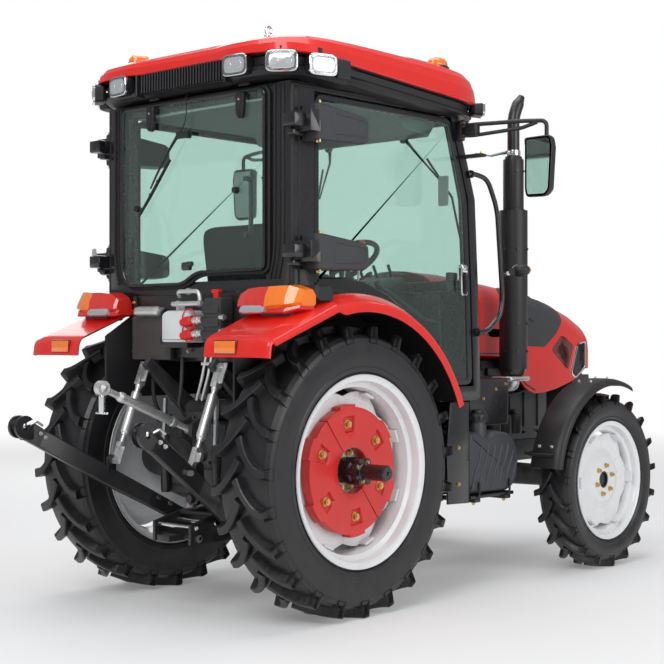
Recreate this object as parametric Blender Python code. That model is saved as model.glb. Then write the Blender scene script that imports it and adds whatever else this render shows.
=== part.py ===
# Compact four-wheel-drive farm tractor with a closed cab and a rear three-point hitch.
# Metres, +X forward, +Y left, +Z up. Pieces are measured from the point on the ground
# under the rear axle; the base empty moves them so that the whole stands over the origin.
import math

import bpy
import bmesh
from mathutils import Matrix, Vector

# Overall layout
rear_axle_x = -0.8605
wheelbase = 1.988
gap = 0.0003
steps_wheel = 40

# Rear wheels: a turned rim inside a turned tyre, a weight ring and an axle stub
rear_radius = 0.650
rear_plane_y = 0.618
rear_rim_half = 0.150
rear_flange_radius = 0.430
rear_seat_radius = 0.405
rear_disc_inner = 0.0227
rear_disc_thick = 0.012
weight_thick = 0.050
weight_bore = 0.100
weight_radius = 0.297
stub_radius = 0.036
stub_end = 0.287

# Front wheels and steering
front_radius = 0.4705
front_plane_y = 0.729
front_rim_half = 0.085
front_flange_radius = 0.320
front_seat_radius = 0.300
front_disc_inner = 0.030
front_disc_thick = 0.012
kingpin_y = 0.560
kingpin_radius = 0.055
fork_gap = 0.006
fork_plate = 0.030
fork_reach = 0.145
beam_radius = 0.055

# Drive line
block_half_y = 0.200
gearbox_half_y = 0.190
trumpet_radius = 0.105
frame_top_z = 0.660
frame_half_y = 0.195
hopper_top_z = 0.930

# Cab
cab_half_y = 0.620
cab_wall = 0.050
cab_rear_x = -0.310
cab_top_z = 2.360
cab_foot_z = 0.930
cab_front = ((1.070, 0.930), (1.045, 1.510), (1.020, 1.935), (0.870, 2.360))
door_rear_x = -0.165
door_top_z = 2.330
door_gap = 0.006
door_frame = 0.032
door_bottom_z = 1.000
door_arc = 0.840
glass_thick = 0.006
hinge_x = -0.235
hinge_y = 0.715
hinge_half = 0.046
knuckle_radius = 0.012
tub_half_y = 0.430
tub_plate = 0.025
tub_top_z = 1.480
floor_z = 0.955
shelf_z = 1.155

# Rear mudguards
guard_arc = 0.790
guard_plate = 0.020
guard_lip = 0.055
guard_half_y = 0.800
guard_front_deg = 21.6
guard_rear_deg = 113.0
guard_tail = ((-0.630, 1.252), (-0.650, 1.160))

# Roof
roof_half_y = 0.770
roof_rear_x = -0.420
roof_front_x = 1.150
roof_split_z = 2.465
roof_top_z = 2.585
eye_top_z = 2.650

# Hood
hood_plate = 0.020
hood_rear_x = 1.120
hood_front_x = 2.600
nose_x = 2.680
hood_hinge = (1.160, 1.560)

# Front mudguards, carried by the knuckles
fend_radius = 0.550
fend_plate = 0.010
fend_inner_y = 0.660
fend_outer_y = 0.842
fend_rear_deg = 170.0
fend_front_deg = 68.0

# Rear hitch
link_pivot = (-0.170, 0.360)
link_ball = (-0.974, 0.845)
link_ball_y = 0.421
link_inner_y = 0.1453
link_thick = 0.040
rod_top = (-0.386, 1.113)
rod_foot = (-0.557, 0.678)
rod_inner_y = 0.2403
rod_thick = 0.040
shaft_axis = (-0.130, 0.900)
shaft_radius = 0.0497
top_pin = (-0.340, 0.818)
top_eye = (-0.850, 1.023)
top_link_half = 0.020
top_eye_radius = 0.033
top_eye_half = 0.026


def fresh_scene():
    for piece in list(bpy.data.objects):
        bpy.data.objects.remove(piece, do_unlink=True)
    anchor = bpy.data.objects.new("base", None)
    anchor.location = (rear_axle_x, 0.0, 0.0)
    bpy.context.scene.collection.objects.link(anchor)
    return anchor


base = fresh_scene()


def paint(name, colour, rough, metal=0.0, clear=1.0):
    material = bpy.data.materials.new(name)
    material.use_nodes = True
    shader = material.node_tree.nodes["Principled BSDF"]
    shader.inputs["Base Color"].default_value = (*colour, 1.0)
    shader.inputs["Roughness"].default_value = rough
    shader.inputs["Metallic"].default_value = metal
    shader.inputs["Alpha"].default_value = clear
    material.diffuse_color = (*colour, clear)
    return material


red = paint("red_paint", (0.62, 0.02, 0.02), 0.25)
white = paint("white_paint", (0.86, 0.87, 0.88), 0.30)
black = paint("black_paint", (0.015, 0.015, 0.017), 0.35)
plastic = paint("black_plastic", (0.02, 0.02, 0.022), 0.55)
tank_grey = paint("tank_grey", (0.045, 0.048, 0.055), 0.50)
rubber = paint("rubber", (0.018, 0.018, 0.020), 0.80)
iron = paint("cast_iron", (0.030, 0.031, 0.034), 0.60, 0.6)
zinc = paint("zinc_steel", (0.62, 0.62, 0.60), 0.30, 0.9)
glass = paint("tinted_glass", (0.25, 0.34, 0.33), 0.05, 0.0, 0.35)
cloth = paint("seat_cover", (0.020, 0.021, 0.023), 0.75)
amber = paint("amber_lens", (0.90, 0.25, 0.02), 0.20)
frost = paint("washer_bottle", (0.80, 0.82, 0.80), 0.40)


def finish(name, bm, material, place=(0.0, 0.0, 0.0)):
    bmesh.ops.remove_doubles(bm, verts=bm.verts, dist=1e-6)
    bmesh.ops.recalc_face_normals(bm, faces=bm.faces)
    mesh = bpy.data.meshes.new(name)
    bm.to_mesh(mesh)
    bm.free()
    mesh.materials.append(material)
    mesh.shade_smooth()
    mesh.set_sharp_from_angle(angle=math.radians(30))
    piece = bpy.data.objects.new(name, mesh)
    bpy.context.scene.collection.objects.link(piece)
    piece.location = place
    piece.parent = base
    return piece


def prism(name, outline, low, high, material, axis="Y", place=(0.0, 0.0, 0.0)):
    # The outline lies across the axis: (x, z) for Y, (x, y) for Z and (y, z) for X.
    spots = {
        "X": lambda a, b: (low, a, b),
        "Y": lambda a, b: (a, low, b),
        "Z": lambda a, b: (a, b, low),
    }
    along = {"X": Vector((1, 0, 0)), "Y": Vector((0, 1, 0)), "Z": Vector((0, 0, 1))}
    bm = bmesh.new()
    corners = [bm.verts.new(spots[axis](a, b)) for a, b in outline]
    face = bm.faces.new(corners)
    grown = bmesh.ops.extrude_face_region(bm, geom=[face])["geom"]
    moved = [v for v in grown if isinstance(v, bmesh.types.BMVert)]
    bmesh.ops.translate(bm, verts=moved, vec=along[axis] * (high - low))
    return finish(name, bm, material, place)


def block(name, low, high, material, place=(0.0, 0.0, 0.0)):
    bm = bmesh.new()
    middle = (Vector(low) + Vector(high)) / 2
    size = Vector(high) - Vector(low)
    shape = Matrix.Translation(middle) @ Matrix.Diagonal((*(abs(s) for s in size), 1.0))
    bmesh.ops.create_cube(bm, size=1.0, matrix=shape)
    return finish(name, bm, material, place)


def turned(name, profile, material, place, steps, axis=(0, 1, 0)):
    # The profile is (distance along the axis, radius); it is closed unless it ends on the axis.
    line = Vector(axis)
    out = Vector((0, 0, -1)) if line.z == 0 else Vector((1, 0, 0))
    out = Matrix.Rotation(math.pi / steps, 3, line) @ out
    bm = bmesh.new()
    spots = [bm.verts.new(line * along + out * radius) for along, radius in profile]
    edges = [bm.edges.new(pair) for pair in zip(spots, spots[1:])]
    if profile[0][1] > 0:
        edges.append(bm.edges.new((spots[-1], spots[0])))
    bmesh.ops.spin(
        bm,
        geom=spots + edges,
        cent=(0, 0, 0),
        axis=line,
        angle=math.tau,
        steps=steps,
        use_merge=True,
    )
    return finish(name, bm, material, place)


def skin(name, rings, material, place=(0.0, 0.0, 0.0)):
    # Each ring is a closed loop of points; both ends are capped.
    bm = bmesh.new()
    loops = [[bm.verts.new(spot) for spot in ring] for ring in rings]
    for near, far in zip(loops, loops[1:]):
        for i in range(len(near)):
            j = (i + 1) % len(near)
            bm.faces.new((near[i], near[j], far[j], far[i]))
    bm.faces.new(loops[0])
    bm.faces.new(list(reversed(loops[-1])))
    return finish(name, bm, material, place)


def tube(name, points, radius, material, place=(0.0, 0.0, 0.0)):
    # A bevelled curve with filled ends, kept as a mesh so that it can be joined to others.
    curve = bpy.data.curves.new(name, "CURVE")
    curve.dimensions = "3D"
    curve.bevel_depth = radius
    curve.bevel_resolution = 2
    curve.use_fill_caps = True
    line = curve.splines.new("POLY")
    line.points.add(len(points) - 1)
    for spot, point in zip(line.points, points):
        spot.co = (*point, 1.0)
    guide = bpy.data.objects.new(name + "_route", curve)
    bm = bmesh.new()
    bm.from_mesh(guide.to_mesh())
    bpy.data.objects.remove(guide)
    return finish(name, bm, material, place)


def rounded(points, radius, bends=3):
    # Corners of a route become arcs, so that a bent tube keeps its section.
    spots = [Vector(p) for p in points]
    route = [spots[0]]
    for before, corner, after in zip(spots, spots[1:], spots[2:]):
        way_in = (before - corner).normalized()
        way_out = (after - corner).normalized()
        half = way_in.angle(way_out) / 2
        reach = radius / math.tan(half)
        centre = corner + (way_in + way_out).normalized() * (radius / math.sin(half))
        start = corner + way_in * reach - centre
        end = corner + way_out * reach - centre
        axis, angle = start.rotation_difference(end).to_axis_angle()
        for i in range(bends + 1):
            route.append(centre + Matrix.Rotation(angle * i / bends, 3, axis) @ start)
    route.append(spots[-1])
    return route


def hide(guide):
    guide.hide_render = True
    guide.display_type = "WIRE"


def combine(piece, others, operation):
    for other in others:
        hide(other)
        step = piece.modifiers.new(other.name, "BOOLEAN")
        step.operation = operation
        step.solver = "EXACT"
        step.object = other


def join(piece, *others):
    combine(piece, others, "UNION")


def cut(piece, *others):
    combine(piece, others, "DIFFERENCE")


def arc(centre, radius, first, last, count):
    # Points of an arc in the upright plane, angles in degrees from +X towards +Z.
    spots = []
    for i in range(count + 1):
        turn = math.radians(first + (last - first) * i / count)
        spots.append((centre[0] + radius * math.cos(turn), centre[1] + radius * math.sin(turn)))
    return spots


def shell_rings(path, section):
    # Carries a section of (y, drop) along a path of (x, z); drop runs inward from the path.
    rings = []
    for i, spot in enumerate(path):
        before = Vector(path[max(i - 1, 0)])
        after = Vector(path[min(i + 1, len(path) - 1)])
        way = (after - before).normalized()
        inward = Vector((-way.y, way.x))
        ring = [(spot[0] + inward.x * drop, y, spot[1] + inward.y * drop) for y, drop in section]
        rings.append(ring)
    return rings


sides = (("right", -1), ("left", 1))


# Wheels -----------------------------------------------------------------------

def tyre_profile(side, rim_half, seat, flange, bulge, radius, tread_half):
    half = (
        (rim_half - 0.0123, seat + gap),
        (rim_half - 0.0123, flange + 0.004),
        (rim_half, flange + 0.020),
        (bulge, (flange + radius) / 2),
        (tread_half + 0.012, radius - 0.050),
        (tread_half, radius),
    )
    outer = [(side * along, r) for along, r in half]
    inner = [(-side * along, r) for along, r in reversed(half)]
    true_radius = 1 / math.cos(math.pi / steps_wheel)
    return [(along, r * true_radius) for along, r in outer + inner]


def rim_profile(side, rim_half, seat, flange, disc_inner, disc_thick):
    wall = 0.008
    lip = 0.012
    spots = (
        (disc_inner, 0.0),
        (disc_inner, seat - wall),
        (-rim_half, seat - wall),
        (-rim_half, flange),
        (-rim_half + lip, flange),
        (-rim_half + lip, seat),
        (rim_half - lip, seat),
        (rim_half - lip, flange),
        (rim_half, flange),
        (rim_half, seat - wall),
        (disc_inner + disc_thick, seat - wall),
        (disc_inner + disc_thick, 0.0),
    )
    true_radius = 1 / math.cos(math.pi / steps_wheel)
    return [(side * along, r * true_radius) for along, r in spots]


def rear_wheel(label, side):
    place = (0.0, side * rear_plane_y, rear_radius)
    shape = tyre_profile(
        side, rear_rim_half, rear_seat_radius, rear_flange_radius, 0.155, rear_radius, 0.142
    )
    turned(f"rear_tyre_{label}", shape, rubber, place, steps_wheel)
    shape = rim_profile(
        side, rear_rim_half, rear_seat_radius, rear_flange_radius, rear_disc_inner, rear_disc_thick
    )
    turned(f"rear_rim_{label}", shape, white, place, steps_wheel)
    face = rear_disc_inner + rear_disc_thick + gap
    ring = (
        (side * face, weight_bore),
        (side * face, weight_radius),
        (side * (face + weight_thick), weight_radius),
        (side * (face + weight_thick), weight_bore),
    )
    weight = turned(f"wheel_weight_{label}", ring, red, place, 32)
    hub = (
        (face, 0.0),
        (face, weight_bore + 0.006),
        (face + 0.040, weight_bore + 0.006),
        (face + 0.062, 0.062),
        (face + 0.100, 0.055),
        (face + 0.110, stub_radius),
        (stub_end, stub_radius),
        (stub_end, 0.0),
    )
    join(weight, turned(f"axle_stub_{label}", [(side * a, r) for a, r in hub], black, place, 20))


def front_wheel(label, side):
    place = (wheelbase, side * front_plane_y, front_radius)
    shape = tyre_profile(
        side, front_rim_half, front_seat_radius, front_flange_radius, 0.100, front_radius, 0.090
    )
    turned(f"front_tyre_{label}", shape, rubber, place, steps_wheel)
    shape = rim_profile(
        side,
        front_rim_half,
        front_seat_radius,
        front_flange_radius,
        front_disc_inner,
        front_disc_thick,
    )
    turned(f"front_rim_{label}", shape, white, place, steps_wheel)


def knuckle(label, side):
    # A fork above and below the beam's pin housing, with a hub towards the wheel.
    place = (wheelbase, side * kingpin_y, front_radius)
    inner = 0.500 - kingpin_y
    web = kingpin_radius + fork_gap
    far = 0.100
    outline = (
        (inner, fork_reach),
        (far, fork_reach),
        (far, -fork_reach),
        (inner, -fork_reach),
        (inner, -fork_reach + fork_plate),
        (web, -fork_reach + fork_plate),
        (web, fork_reach - fork_plate),
        (inner, fork_reach - fork_plate),
    )
    shape = [(side * y, z) for y, z in outline]
    body = prism(f"knuckle_{label}", shape, -0.060, 0.060, iron, "X", place)
    hub_end = front_plane_y + front_disc_inner - kingpin_y - gap
    hub = ((far - 0.030, 0.0), (far - 0.030, 0.100), (hub_end, 0.080), (hub_end, 0.0))
    join(body, turned(f"knuckle_hub_{label}", [(side * a, r) for a, r in hub], iron, place, 20))


def front_mudguard(label, side):
    axle = (0.0, 0.0)
    path = arc(axle, fend_radius, fend_rear_deg, fend_front_deg, 12)
    lip = 0.030
    outer = fend_outer_y - kingpin_y
    inner = fend_inner_y - kingpin_y
    section = (
        (side * inner, 0.0),
        (side * outer, 0.0),
        (side * outer, lip),
        (side * (outer - fend_plate), lip),
        (side * (outer - fend_plate), fend_plate),
        (side * inner, fend_plate),
    )
    flipped = [(y, -drop) for y, drop in section]
    place = (wheelbase, side * kingpin_y, front_radius)
    guard = skin(f"front_mudguard_{label}", shell_rings(path, flipped), plastic, place)
    # The stay stands on the knuckle, inside the tyre, and turns out over its tread.
    top = fend_radius - fend_plate + 0.004
    foot = fork_reach + gap
    stay = (
        (0.025, foot),
        (0.040, foot),
        (0.040, top - 0.014),
        (0.160, top - 0.014),
        (0.160, top),
        (0.025, top),
    )
    shape = [(side * y, z) for y, z in stay]
    join(guard, prism(f"mudguard_stay_{label}", shape, -0.030, 0.030, plastic, "X", place))


# Drive line -------------------------------------------------------------------

def drive_line():
    prism(
        "engine_block",
        ((1.310, frame_top_z + gap), (2.300, frame_top_z + gap), (2.300, 1.120), (1.310, 1.120)),
        -block_half_y,
        block_half_y,
        iron,
    )
    side_view = (
        (-0.300, 0.520),
        (-0.100, 0.440),
        (1.3097, 0.440),
        (1.3097, hopper_top_z - gap),
        (0.050, hopper_top_z - gap),
        (0.050, shaft_axis[1] - shaft_radius - gap),
        (-0.300, shaft_axis[1] - shaft_radius - gap),
    )
    gearbox = prism("transmission", side_view, -gearbox_half_y, gearbox_half_y, iron)
    reach = rear_plane_y + rear_disc_inner - gap
    trumpet = (
        (-reach, 0.0),
        (-reach, 0.090),
        (-reach + 0.060, trumpet_radius),
        (reach - 0.060, trumpet_radius),
        (reach, 0.090),
        (reach, 0.0),
    )
    join(gearbox, turned("axle_trumpets", trumpet, iron, (0.0, 0.0, rear_radius), 20))
    # Ears for the top link's pin, either side of its eye
    for label, side in sides:
        inner = side * (0.020 + gap)
        outer = side * 0.034
        ear = ((-0.280, 0.760), (-0.280, 0.845), (-0.370, 0.843), (-0.370, 0.793))
        low, high = sorted((inner, outer))
        join(gearbox, prism(f"top_link_ear_{label}", ear, low, high, iron))
    stub = ((-0.380, 0.0), (-0.380, 0.0175), (-0.250, 0.0175), (-0.250, 0.0))
    join(gearbox, turned("pto_stub", stub, zinc, (0.0, 0.0, 0.600), 12, (1, 0, 0)))


def front_support():
    side_view = (
        (1.310, 0.540),
        (2.560, 0.540),
        (2.700, 0.800),
        (2.770, 0.900),
        (2.770, 1.020),
        (2.700, 1.020),
        (2.660, 1.060 - gap),
        (2.600, 1.060 - gap),
        (2.500, frame_top_z),
        (1.310, frame_top_z),
    )
    prism("front_frame", side_view, -frame_half_y, frame_half_y, black)


def front_axle():
    beam = ((-kingpin_y, 0.0), (-kingpin_y, beam_radius), (-0.20, 0.062), (0.20, 0.062))
    beam += ((kingpin_y, beam_radius), (kingpin_y, 0.0))
    body = turned("front_axle", beam, iron, (wheelbase, 0.0, front_radius), 16)
    half = fork_reach - fork_plate - gap
    for label, side in sides:
        place = (wheelbase, side * kingpin_y, front_radius)
        pin = ((-half, 0.0), (-half, kingpin_radius), (half, kingpin_radius), (half, 0.0))
        join(body, turned(f"kingpin_{label}", pin, iron, place, 16, (0, 0, 1)))
    low, high = wheelbase - 0.080, wheelbase + 0.080
    saddle = block("axle_saddle", (low, -0.070, 0.440), (high, 0.070, 0.540 - gap), iron)
    join(body, saddle)


# Cab --------------------------------------------------------------------------

def front_line(inset):
    # The cab's front edge, moved back by the inset.
    return [(x - inset, z) for x, z in cab_front]


def front_at(z, inset):
    # Where the front edge stands at one height, by its straight runs.
    line = front_line(inset)
    for (x0, z0), (x1, z1) in zip(line, line[1:]):
        if z <= z1 or (x1, z1) == line[-1]:
            return x0 + (x1 - x0) * (z - z0) / (z1 - z0)


def cab_side_outline(inset, low, high):
    # Side view of the cab: front edge, top, rear edge and a line within the wheel arch.
    rear_x = cab_rear_x + inset
    spots = [(x, z) for x, z in front_line(inset) if low < z < high]
    foot, head = front_at(low, inset), front_at(high, inset)
    return [(foot, low)] + spots + [(head, high), (rear_x, high), (rear_x, 1.300), (0.600, low)]


def guard_path(lift):
    # The rear mudguard's upper line, raised by a clearance.
    curve = arc((0.0, rear_radius), guard_arc + lift, guard_front_deg, guard_rear_deg, 12)
    return curve + [(x - lift, z + lift) for x, z in guard_tail]


def door_outline(shrink):
    axle = (0.0, rear_radius)
    radius = door_arc + shrink
    low = door_bottom_z + shrink
    rear_x = door_rear_x + shrink
    first = math.degrees(math.asin((low - rear_radius) / radius))
    last = math.degrees(math.acos(rear_x / radius))
    inset = cab_wall + 0.005 + shrink
    front = front_line(inset)
    high = door_top_z - shrink
    curve = list(reversed(arc(axle, radius, first, last, 8)))
    foot, head = front_at(low, inset), front_at(high, inset)
    return [(foot, low), front[1], front[2], (head, high), (rear_x, high)] + curve


def hinge_knuckle(name, end, place):
    # Half a door hinge: the pillar's knuckle (end -1) is the lower half, the door's is the upper.
    low, high = sorted((end * gap / 2, end * hinge_half))
    barrel = ((low, 0.0), (low, knuckle_radius), (high, knuckle_radius), (high, 0.0))
    pin = turned(f"knuckle_{name}", barrel, black, place, 12, (0, 0, 1))
    near, far = sorted((0.0, end * 0.024))
    half = knuckle_radius - 0.002
    return pin, block(f"leaf_{name}", (near, -half, low), (far, half, high), black, place)


def cab_frame():
    outer = cab_side_outline(0.0, cab_foot_z, cab_top_z)
    frame = prism("cab_frame", outer, -cab_half_y, cab_half_y, black)
    hollow = cab_side_outline(cab_wall, cab_foot_z - 0.200, cab_top_z)
    hollow = [(x, z + 0.050) if z == cab_top_z else (x, z) for x, z in hollow]
    inside = prism("cab_hollow", hollow, -cab_half_y + cab_wall, cab_half_y - cab_wall, black)
    arch = guard_path(gap) + [(-0.700, 0.500), (0.740, 0.500)]
    cut(frame, inside, prism("arch_cutter", arch, -0.90, 0.90, black))
    cut(frame, prism("door_cutter", door_outline(0.0), -0.80, 0.80, black))
    window = ((-0.470, 1.500), (0.470, 1.500), (0.470, 2.300), (-0.470, 2.300))
    cut(frame, prism("rear_cutter", window, cab_rear_x - 0.1, cab_rear_x + 0.2, black, "X"))
    shield = ((-0.550, 1.520), (0.550, 1.520), (0.550, 2.310), (-0.550, 2.310))
    cut(frame, prism("shield_cutter", shield, 0.75, 1.30, black, "X"))
    # Blocks on the rear pillars that carry the doors' hinges
    for label, side in sides:
        for level, z in (("low", 1.615), ("high", 2.180)):
            low, high = sorted((side * (cab_half_y - 0.020), side * (hinge_y + 0.010)))
            x = hinge_x - 0.015
            bracket = block(
                f"hinge_block_{level}_{label}",
                (cab_rear_x + 0.010, low, z - hinge_half),
                (x, high, z + hinge_half),
                black,
            )
            place = (hinge_x, side * hinge_y, z)
            join(frame, bracket, *hinge_knuckle(f"pillar_{level}_{label}", -1, place))


def windshield():
    inset = 0.020
    line = [(1.0447, 1.5203), (1.020, 1.935), (0.8880, 2.3090)]
    outline = [(x - inset, z) for x, z in line]
    outline += [(x - inset - glass_thick, z) for x, z in reversed(line)]
    prism("windshield", outline, -0.550 + gap, 0.550 - gap, glass)


def door(label, side):
    place = (hinge_x, side * hinge_y, 0.0)
    inner, outer = cab_half_y - cab_wall + 0.010, cab_half_y
    low, high = sorted((side * (inner - hinge_y), side * (outer - hinge_y)))

    def local(outline):
        return [(x - hinge_x, z) for x, z in outline]

    leaf = prism(f"door_{label}", local(door_outline(door_gap)), low, high, black, "Y", place)
    hole = local(door_outline(door_gap + door_frame))
    cut(leaf, prism(f"door_window_{label}", hole, low - 0.1, high + 0.1, black, "Y", place))
    middle = (low + high) / 2
    pane = local(door_outline(door_gap + door_frame + gap))
    thick = glass_thick / 2
    prism(f"door_glass_{label}", pane, middle - thick, middle + thick, glass, "Y", place)
    for level, z in (("low", 1.615), ("high", 2.180)):
        # The cover stands off the pillar; a foot behind it reaches the leaf.
        near, far = sorted((side * (outer - hinge_y + 0.005), side * 0.010))
        cover = block(
            f"hinge_cover_{level}_{label}",
            (0.015, near, z - hinge_half),
            (0.325, far, z + hinge_half),
            black,
            place,
        )
        near, far = sorted((side * (outer - hinge_y - 0.015), side * (outer - hinge_y + 0.030)))
        foot = block(
            f"hinge_foot_{level}_{label}",
            (0.085, near, z - hinge_half + 0.010),
            (0.115, far, z + hinge_half - 0.010),
            black,
            place,
        )
        shift = (place[0], place[1], z)
        join(leaf, cover, foot, *hinge_knuckle(f"door_{level}_{label}", 1, shift))
    grip_x = 0.990 - hinge_x
    near, far = sorted((side * (outer - hinge_y - 0.010), side * (outer - hinge_y + 0.045)))
    grip = block(
        f"door_grip_{label}", (grip_x - 0.045, near, 1.450), (grip_x - 0.010, far, 1.570), zinc, place
    )
    join(leaf, grip)


def rear_window():
    # Glass in a frame that hangs from two hinges at its top edge.
    pivot = (cab_rear_x - 0.030, 2.335)
    place = (pivot[0], 0.0, pivot[1])
    thick = 0.022
    low_x = cab_rear_x - gap - thick - pivot[0]
    high_x = cab_rear_x - gap - pivot[0]
    top, foot = 2.320 - pivot[1], 1.475 - pivot[1]
    half = 0.500
    frame = block("rear_window", (low_x, -half, foot), (high_x, half, top), black, place)
    edge = 0.035
    hole = block(
        "rear_window_hole",
        (low_x - 0.1, -half + edge, foot + edge),
        (high_x + 0.1, half - edge, top - edge),
        black,
        place,
    )
    cut(frame, hole)
    middle = (low_x + high_x) / 2
    block(
        "rear_glass",
        (middle - glass_thick / 2, -half + edge + gap, foot + edge + gap),
        (middle + glass_thick / 2, half - edge - gap, top - edge - gap),
        glass,
        place,
    )
    for label, side in sides:
        low, high = sorted((side * 0.285, side * 0.335))
        hinge = block(
            f"window_hinge_{label}", (low_x - 0.030, low, -0.120), (low_x + 0.006, high, 0.020), black, place
        )
        join(frame, hinge)


def tub():
    # One bent plate: front wall, floor, step up to the seat shelf and rear wall.
    inset = cab_wall + gap
    rear_x = cab_rear_x + inset
    top = 1.400
    outline = (
        (front_at(tub_plate + floor_z, inset), floor_z - tub_plate),
        (front_at(tub_top_z, inset), tub_top_z),
        (front_at(tub_top_z, inset + tub_plate), tub_top_z),
        (front_at(floor_z, inset + tub_plate), floor_z),
        (0.240, floor_z),
        (0.240, shelf_z),
        (rear_x + tub_plate, shelf_z),
        (rear_x + tub_plate, top),
        (rear_x, top),
        (rear_x, shelf_z - tub_plate),
        (0.240 - tub_plate, shelf_z - tub_plate),
        (0.240 - tub_plate, floor_z - tub_plate),
    )
    prism("cab_tub", outline, -tub_half_y + gap, tub_half_y - gap, black)


def seat():
    cushion = block("seat", (-0.020, -0.240, 1.290), (0.480, 0.240, 1.420), cloth)
    base_box = block("seat_base", (0.060, -0.180, shelf_z + gap), (0.230, 0.180, 1.310), plastic)
    lean = ((-0.030, 1.400), (0.110, 1.400), (0.030, 1.785), (-0.090, 1.785))
    join(cushion, base_box, prism("seat_back", lean, -0.235, 0.235, cloth))


def dashboard():
    inset = cab_wall + tub_plate + 2 * gap
    outline = (
        (0.860, floor_z + gap),
        (front_at(floor_z + gap, inset), floor_z + gap),
        (front_at(tub_top_z, inset), tub_top_z),
        (0.960, 1.560),
        (0.830, 1.500),
        (0.830, 1.400),
    )
    prism("dashboard", outline, -0.210, 0.210, plastic)
    # The column leans back from the dashboard, and the wheel stands square to it.
    lean = math.radians(35)
    axis = Vector((-math.sin(lean), 0.0, math.cos(lean)))
    foot = Vector((0.8280, 0.0, 1.4600))
    centre = foot + Vector((-0.120, 0.0, 0.170))
    ring = []
    for i in range(16):
        turn = math.tau * i / 16
        across = Vector((math.cos(lean), 0.0, math.sin(lean)))
        ring.append(centre + Vector((0, 1, 0)) * 0.200 * math.cos(turn) + across * 0.200 * math.sin(turn))
    bm = bmesh.new()
    loops = []
    for spot in ring:
        out = (spot - centre).normalized()
        loop = []
        for i in range(6):
            turn = math.tau * i / 6
            loop.append(bm.verts.new(spot + out * 0.014 * math.cos(turn) + axis * 0.014 * math.sin(turn)))
        loops.append(loop)
    for near, far in zip(loops, loops[1:] + loops[:1]):
        for i in range(6):
            j = (i + 1) % 6
            bm.faces.new((near[i], near[j], far[j], far[i]))
    wheel = finish("steering_wheel", bm, plastic)
    spoke = block("wheel_spokes", (-0.020, -0.196, -0.012), (0.020, 0.196, 0.004), plastic)
    spoke.location = centre
    spoke.rotation_euler = (0.0, -lean, 0.0)
    # The column ends where its lower edge meets the dashboard.
    reach = (0.830 - gap - centre.x - 0.0252 * math.cos(lean)) / math.sin(lean)
    column = turned(
        "steering_column",
        ((-reach, 0.0), (-reach, 0.026), (0.0, 0.040), (0.004, 0.0)),
        plastic,
        centre,
        12,
        (0, 0, 1),
    )
    column.rotation_euler = (0.0, -lean, 0.0)
    join(wheel, spoke, column)


def rear_mudguard(label, side):
    axle = (0.0, rear_radius)
    path = guard_path(0.0)
    inner, outer = tub_half_y, guard_half_y
    section = (
        (side * inner, 0.0),
        (side * (outer - 0.035), 0.0),
        (side * outer, 0.022),
        (side * outer, guard_lip),
        (side * (outer - guard_plate), guard_lip),
        (side * (outer - guard_plate), 0.035),
        (side * (outer - 0.045), guard_plate),
        (side * inner, guard_plate),
    )
    guard = skin(f"rear_mudguard_{label}", shell_rings(path, section), red)
    # The wall beside the cab, inside the wheel
    low_z = 0.960
    first = math.degrees(math.asin((low_z - rear_radius) / (guard_arc - 0.005)))
    wall = arc(axle, guard_arc - 0.005, first, guard_rear_deg, 10)
    wall += [(wall[-1][0] - 0.180, 1.250), (wall[-1][0] - 0.180, low_z)]
    low, high = sorted((side * inner, side * (inner + guard_plate)))
    join(guard, prism(f"mudguard_wall_{label}", wall, low, high, red))


def rear_lamp(label, side):
    # A wide rear part behind the cab and a narrow part beside its pillar
    axle = (0.0, rear_radius)
    curve = arc(axle, guard_arc + gap, 98.5, guard_rear_deg, 4)
    turn = Vector(curve[-1])
    tail = (Vector(guard_tail[0]) - Vector(arc(axle, guard_arc, 0, guard_rear_deg, 1)[-1])).normalized()
    end = turn + tail * 0.160
    split_x = cab_rear_x - 0.014
    foot = turn + tail * ((split_x - turn.x) / tail.x)
    back = [tuple(foot), tuple(end), (end.x, 1.405), (end.x + 0.070, 1.440), (split_x, 1.455)]
    low, high = sorted((side * 0.420, side * 0.770))
    lamp = prism(f"rear_lamp_{label}", back, low, high, amber)
    overlap = tuple(foot + tail * 0.010)
    front = curve + [overlap, (overlap[0], 1.452), (-0.240, 1.470)]
    low, high = sorted((side * (cab_half_y + 0.012), side * 0.770))
    join(lamp, prism(f"lamp_side_{label}", front, low, high, amber))


# Roof -------------------------------------------------------------------------

def roof_ring(z, inset, corner):
    # A rectangle with chamfered corners at one level of the roof.
    rear, front = roof_rear_x + inset, roof_front_x - inset
    half = roof_half_y - inset
    spots = (
        (rear + corner, -half),
        (front - corner, -half),
        (front, -half + corner),
        (front, half - corner),
        (front - corner, half),
        (rear + corner, half),
        (rear, half - corner),
        (rear, -half + corner),
    )
    return [(x, y, z) for x, y in spots]


def roof():
    levels = (
        (roof_split_z, 0.000, 0.150),
        (2.520, 0.004, 0.150),
        (2.560, 0.060, 0.150),
        (roof_top_z, 0.200, 0.150),
    )
    shell = skin("roof", [roof_ring(*level) for level in levels], red)
    for name, x, y in (("eye_rear", -0.130, -0.300), ("eye_front", 0.700, 0.300)):
        ring = block(name, (x - 0.008, y - 0.030, 2.560), (x + 0.008, y + 0.030, eye_top_z), zinc)
        join(shell, ring)
    for name, x, y in (("beacon_rear", -0.230, 0.500), ("beacon_front", 0.800, -0.560)):
        dome = ((2.500, 0.0), (2.500, 0.042), (2.600, 0.040), (2.622, 0.024), (2.630, 0.0))
        join(shell, turned(name, dome, amber, (x, y, 0.0), 12, (0, 0, 1)))
    levels = (
        (cab_top_z + gap, 0.130, 0.100),
        (2.400, 0.030, 0.140),
        (roof_split_z - gap, 0.012, 0.150),
    )
    skin("roof_lining", [roof_ring(*level) for level in levels], plastic)


# Hood -------------------------------------------------------------------------

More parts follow.
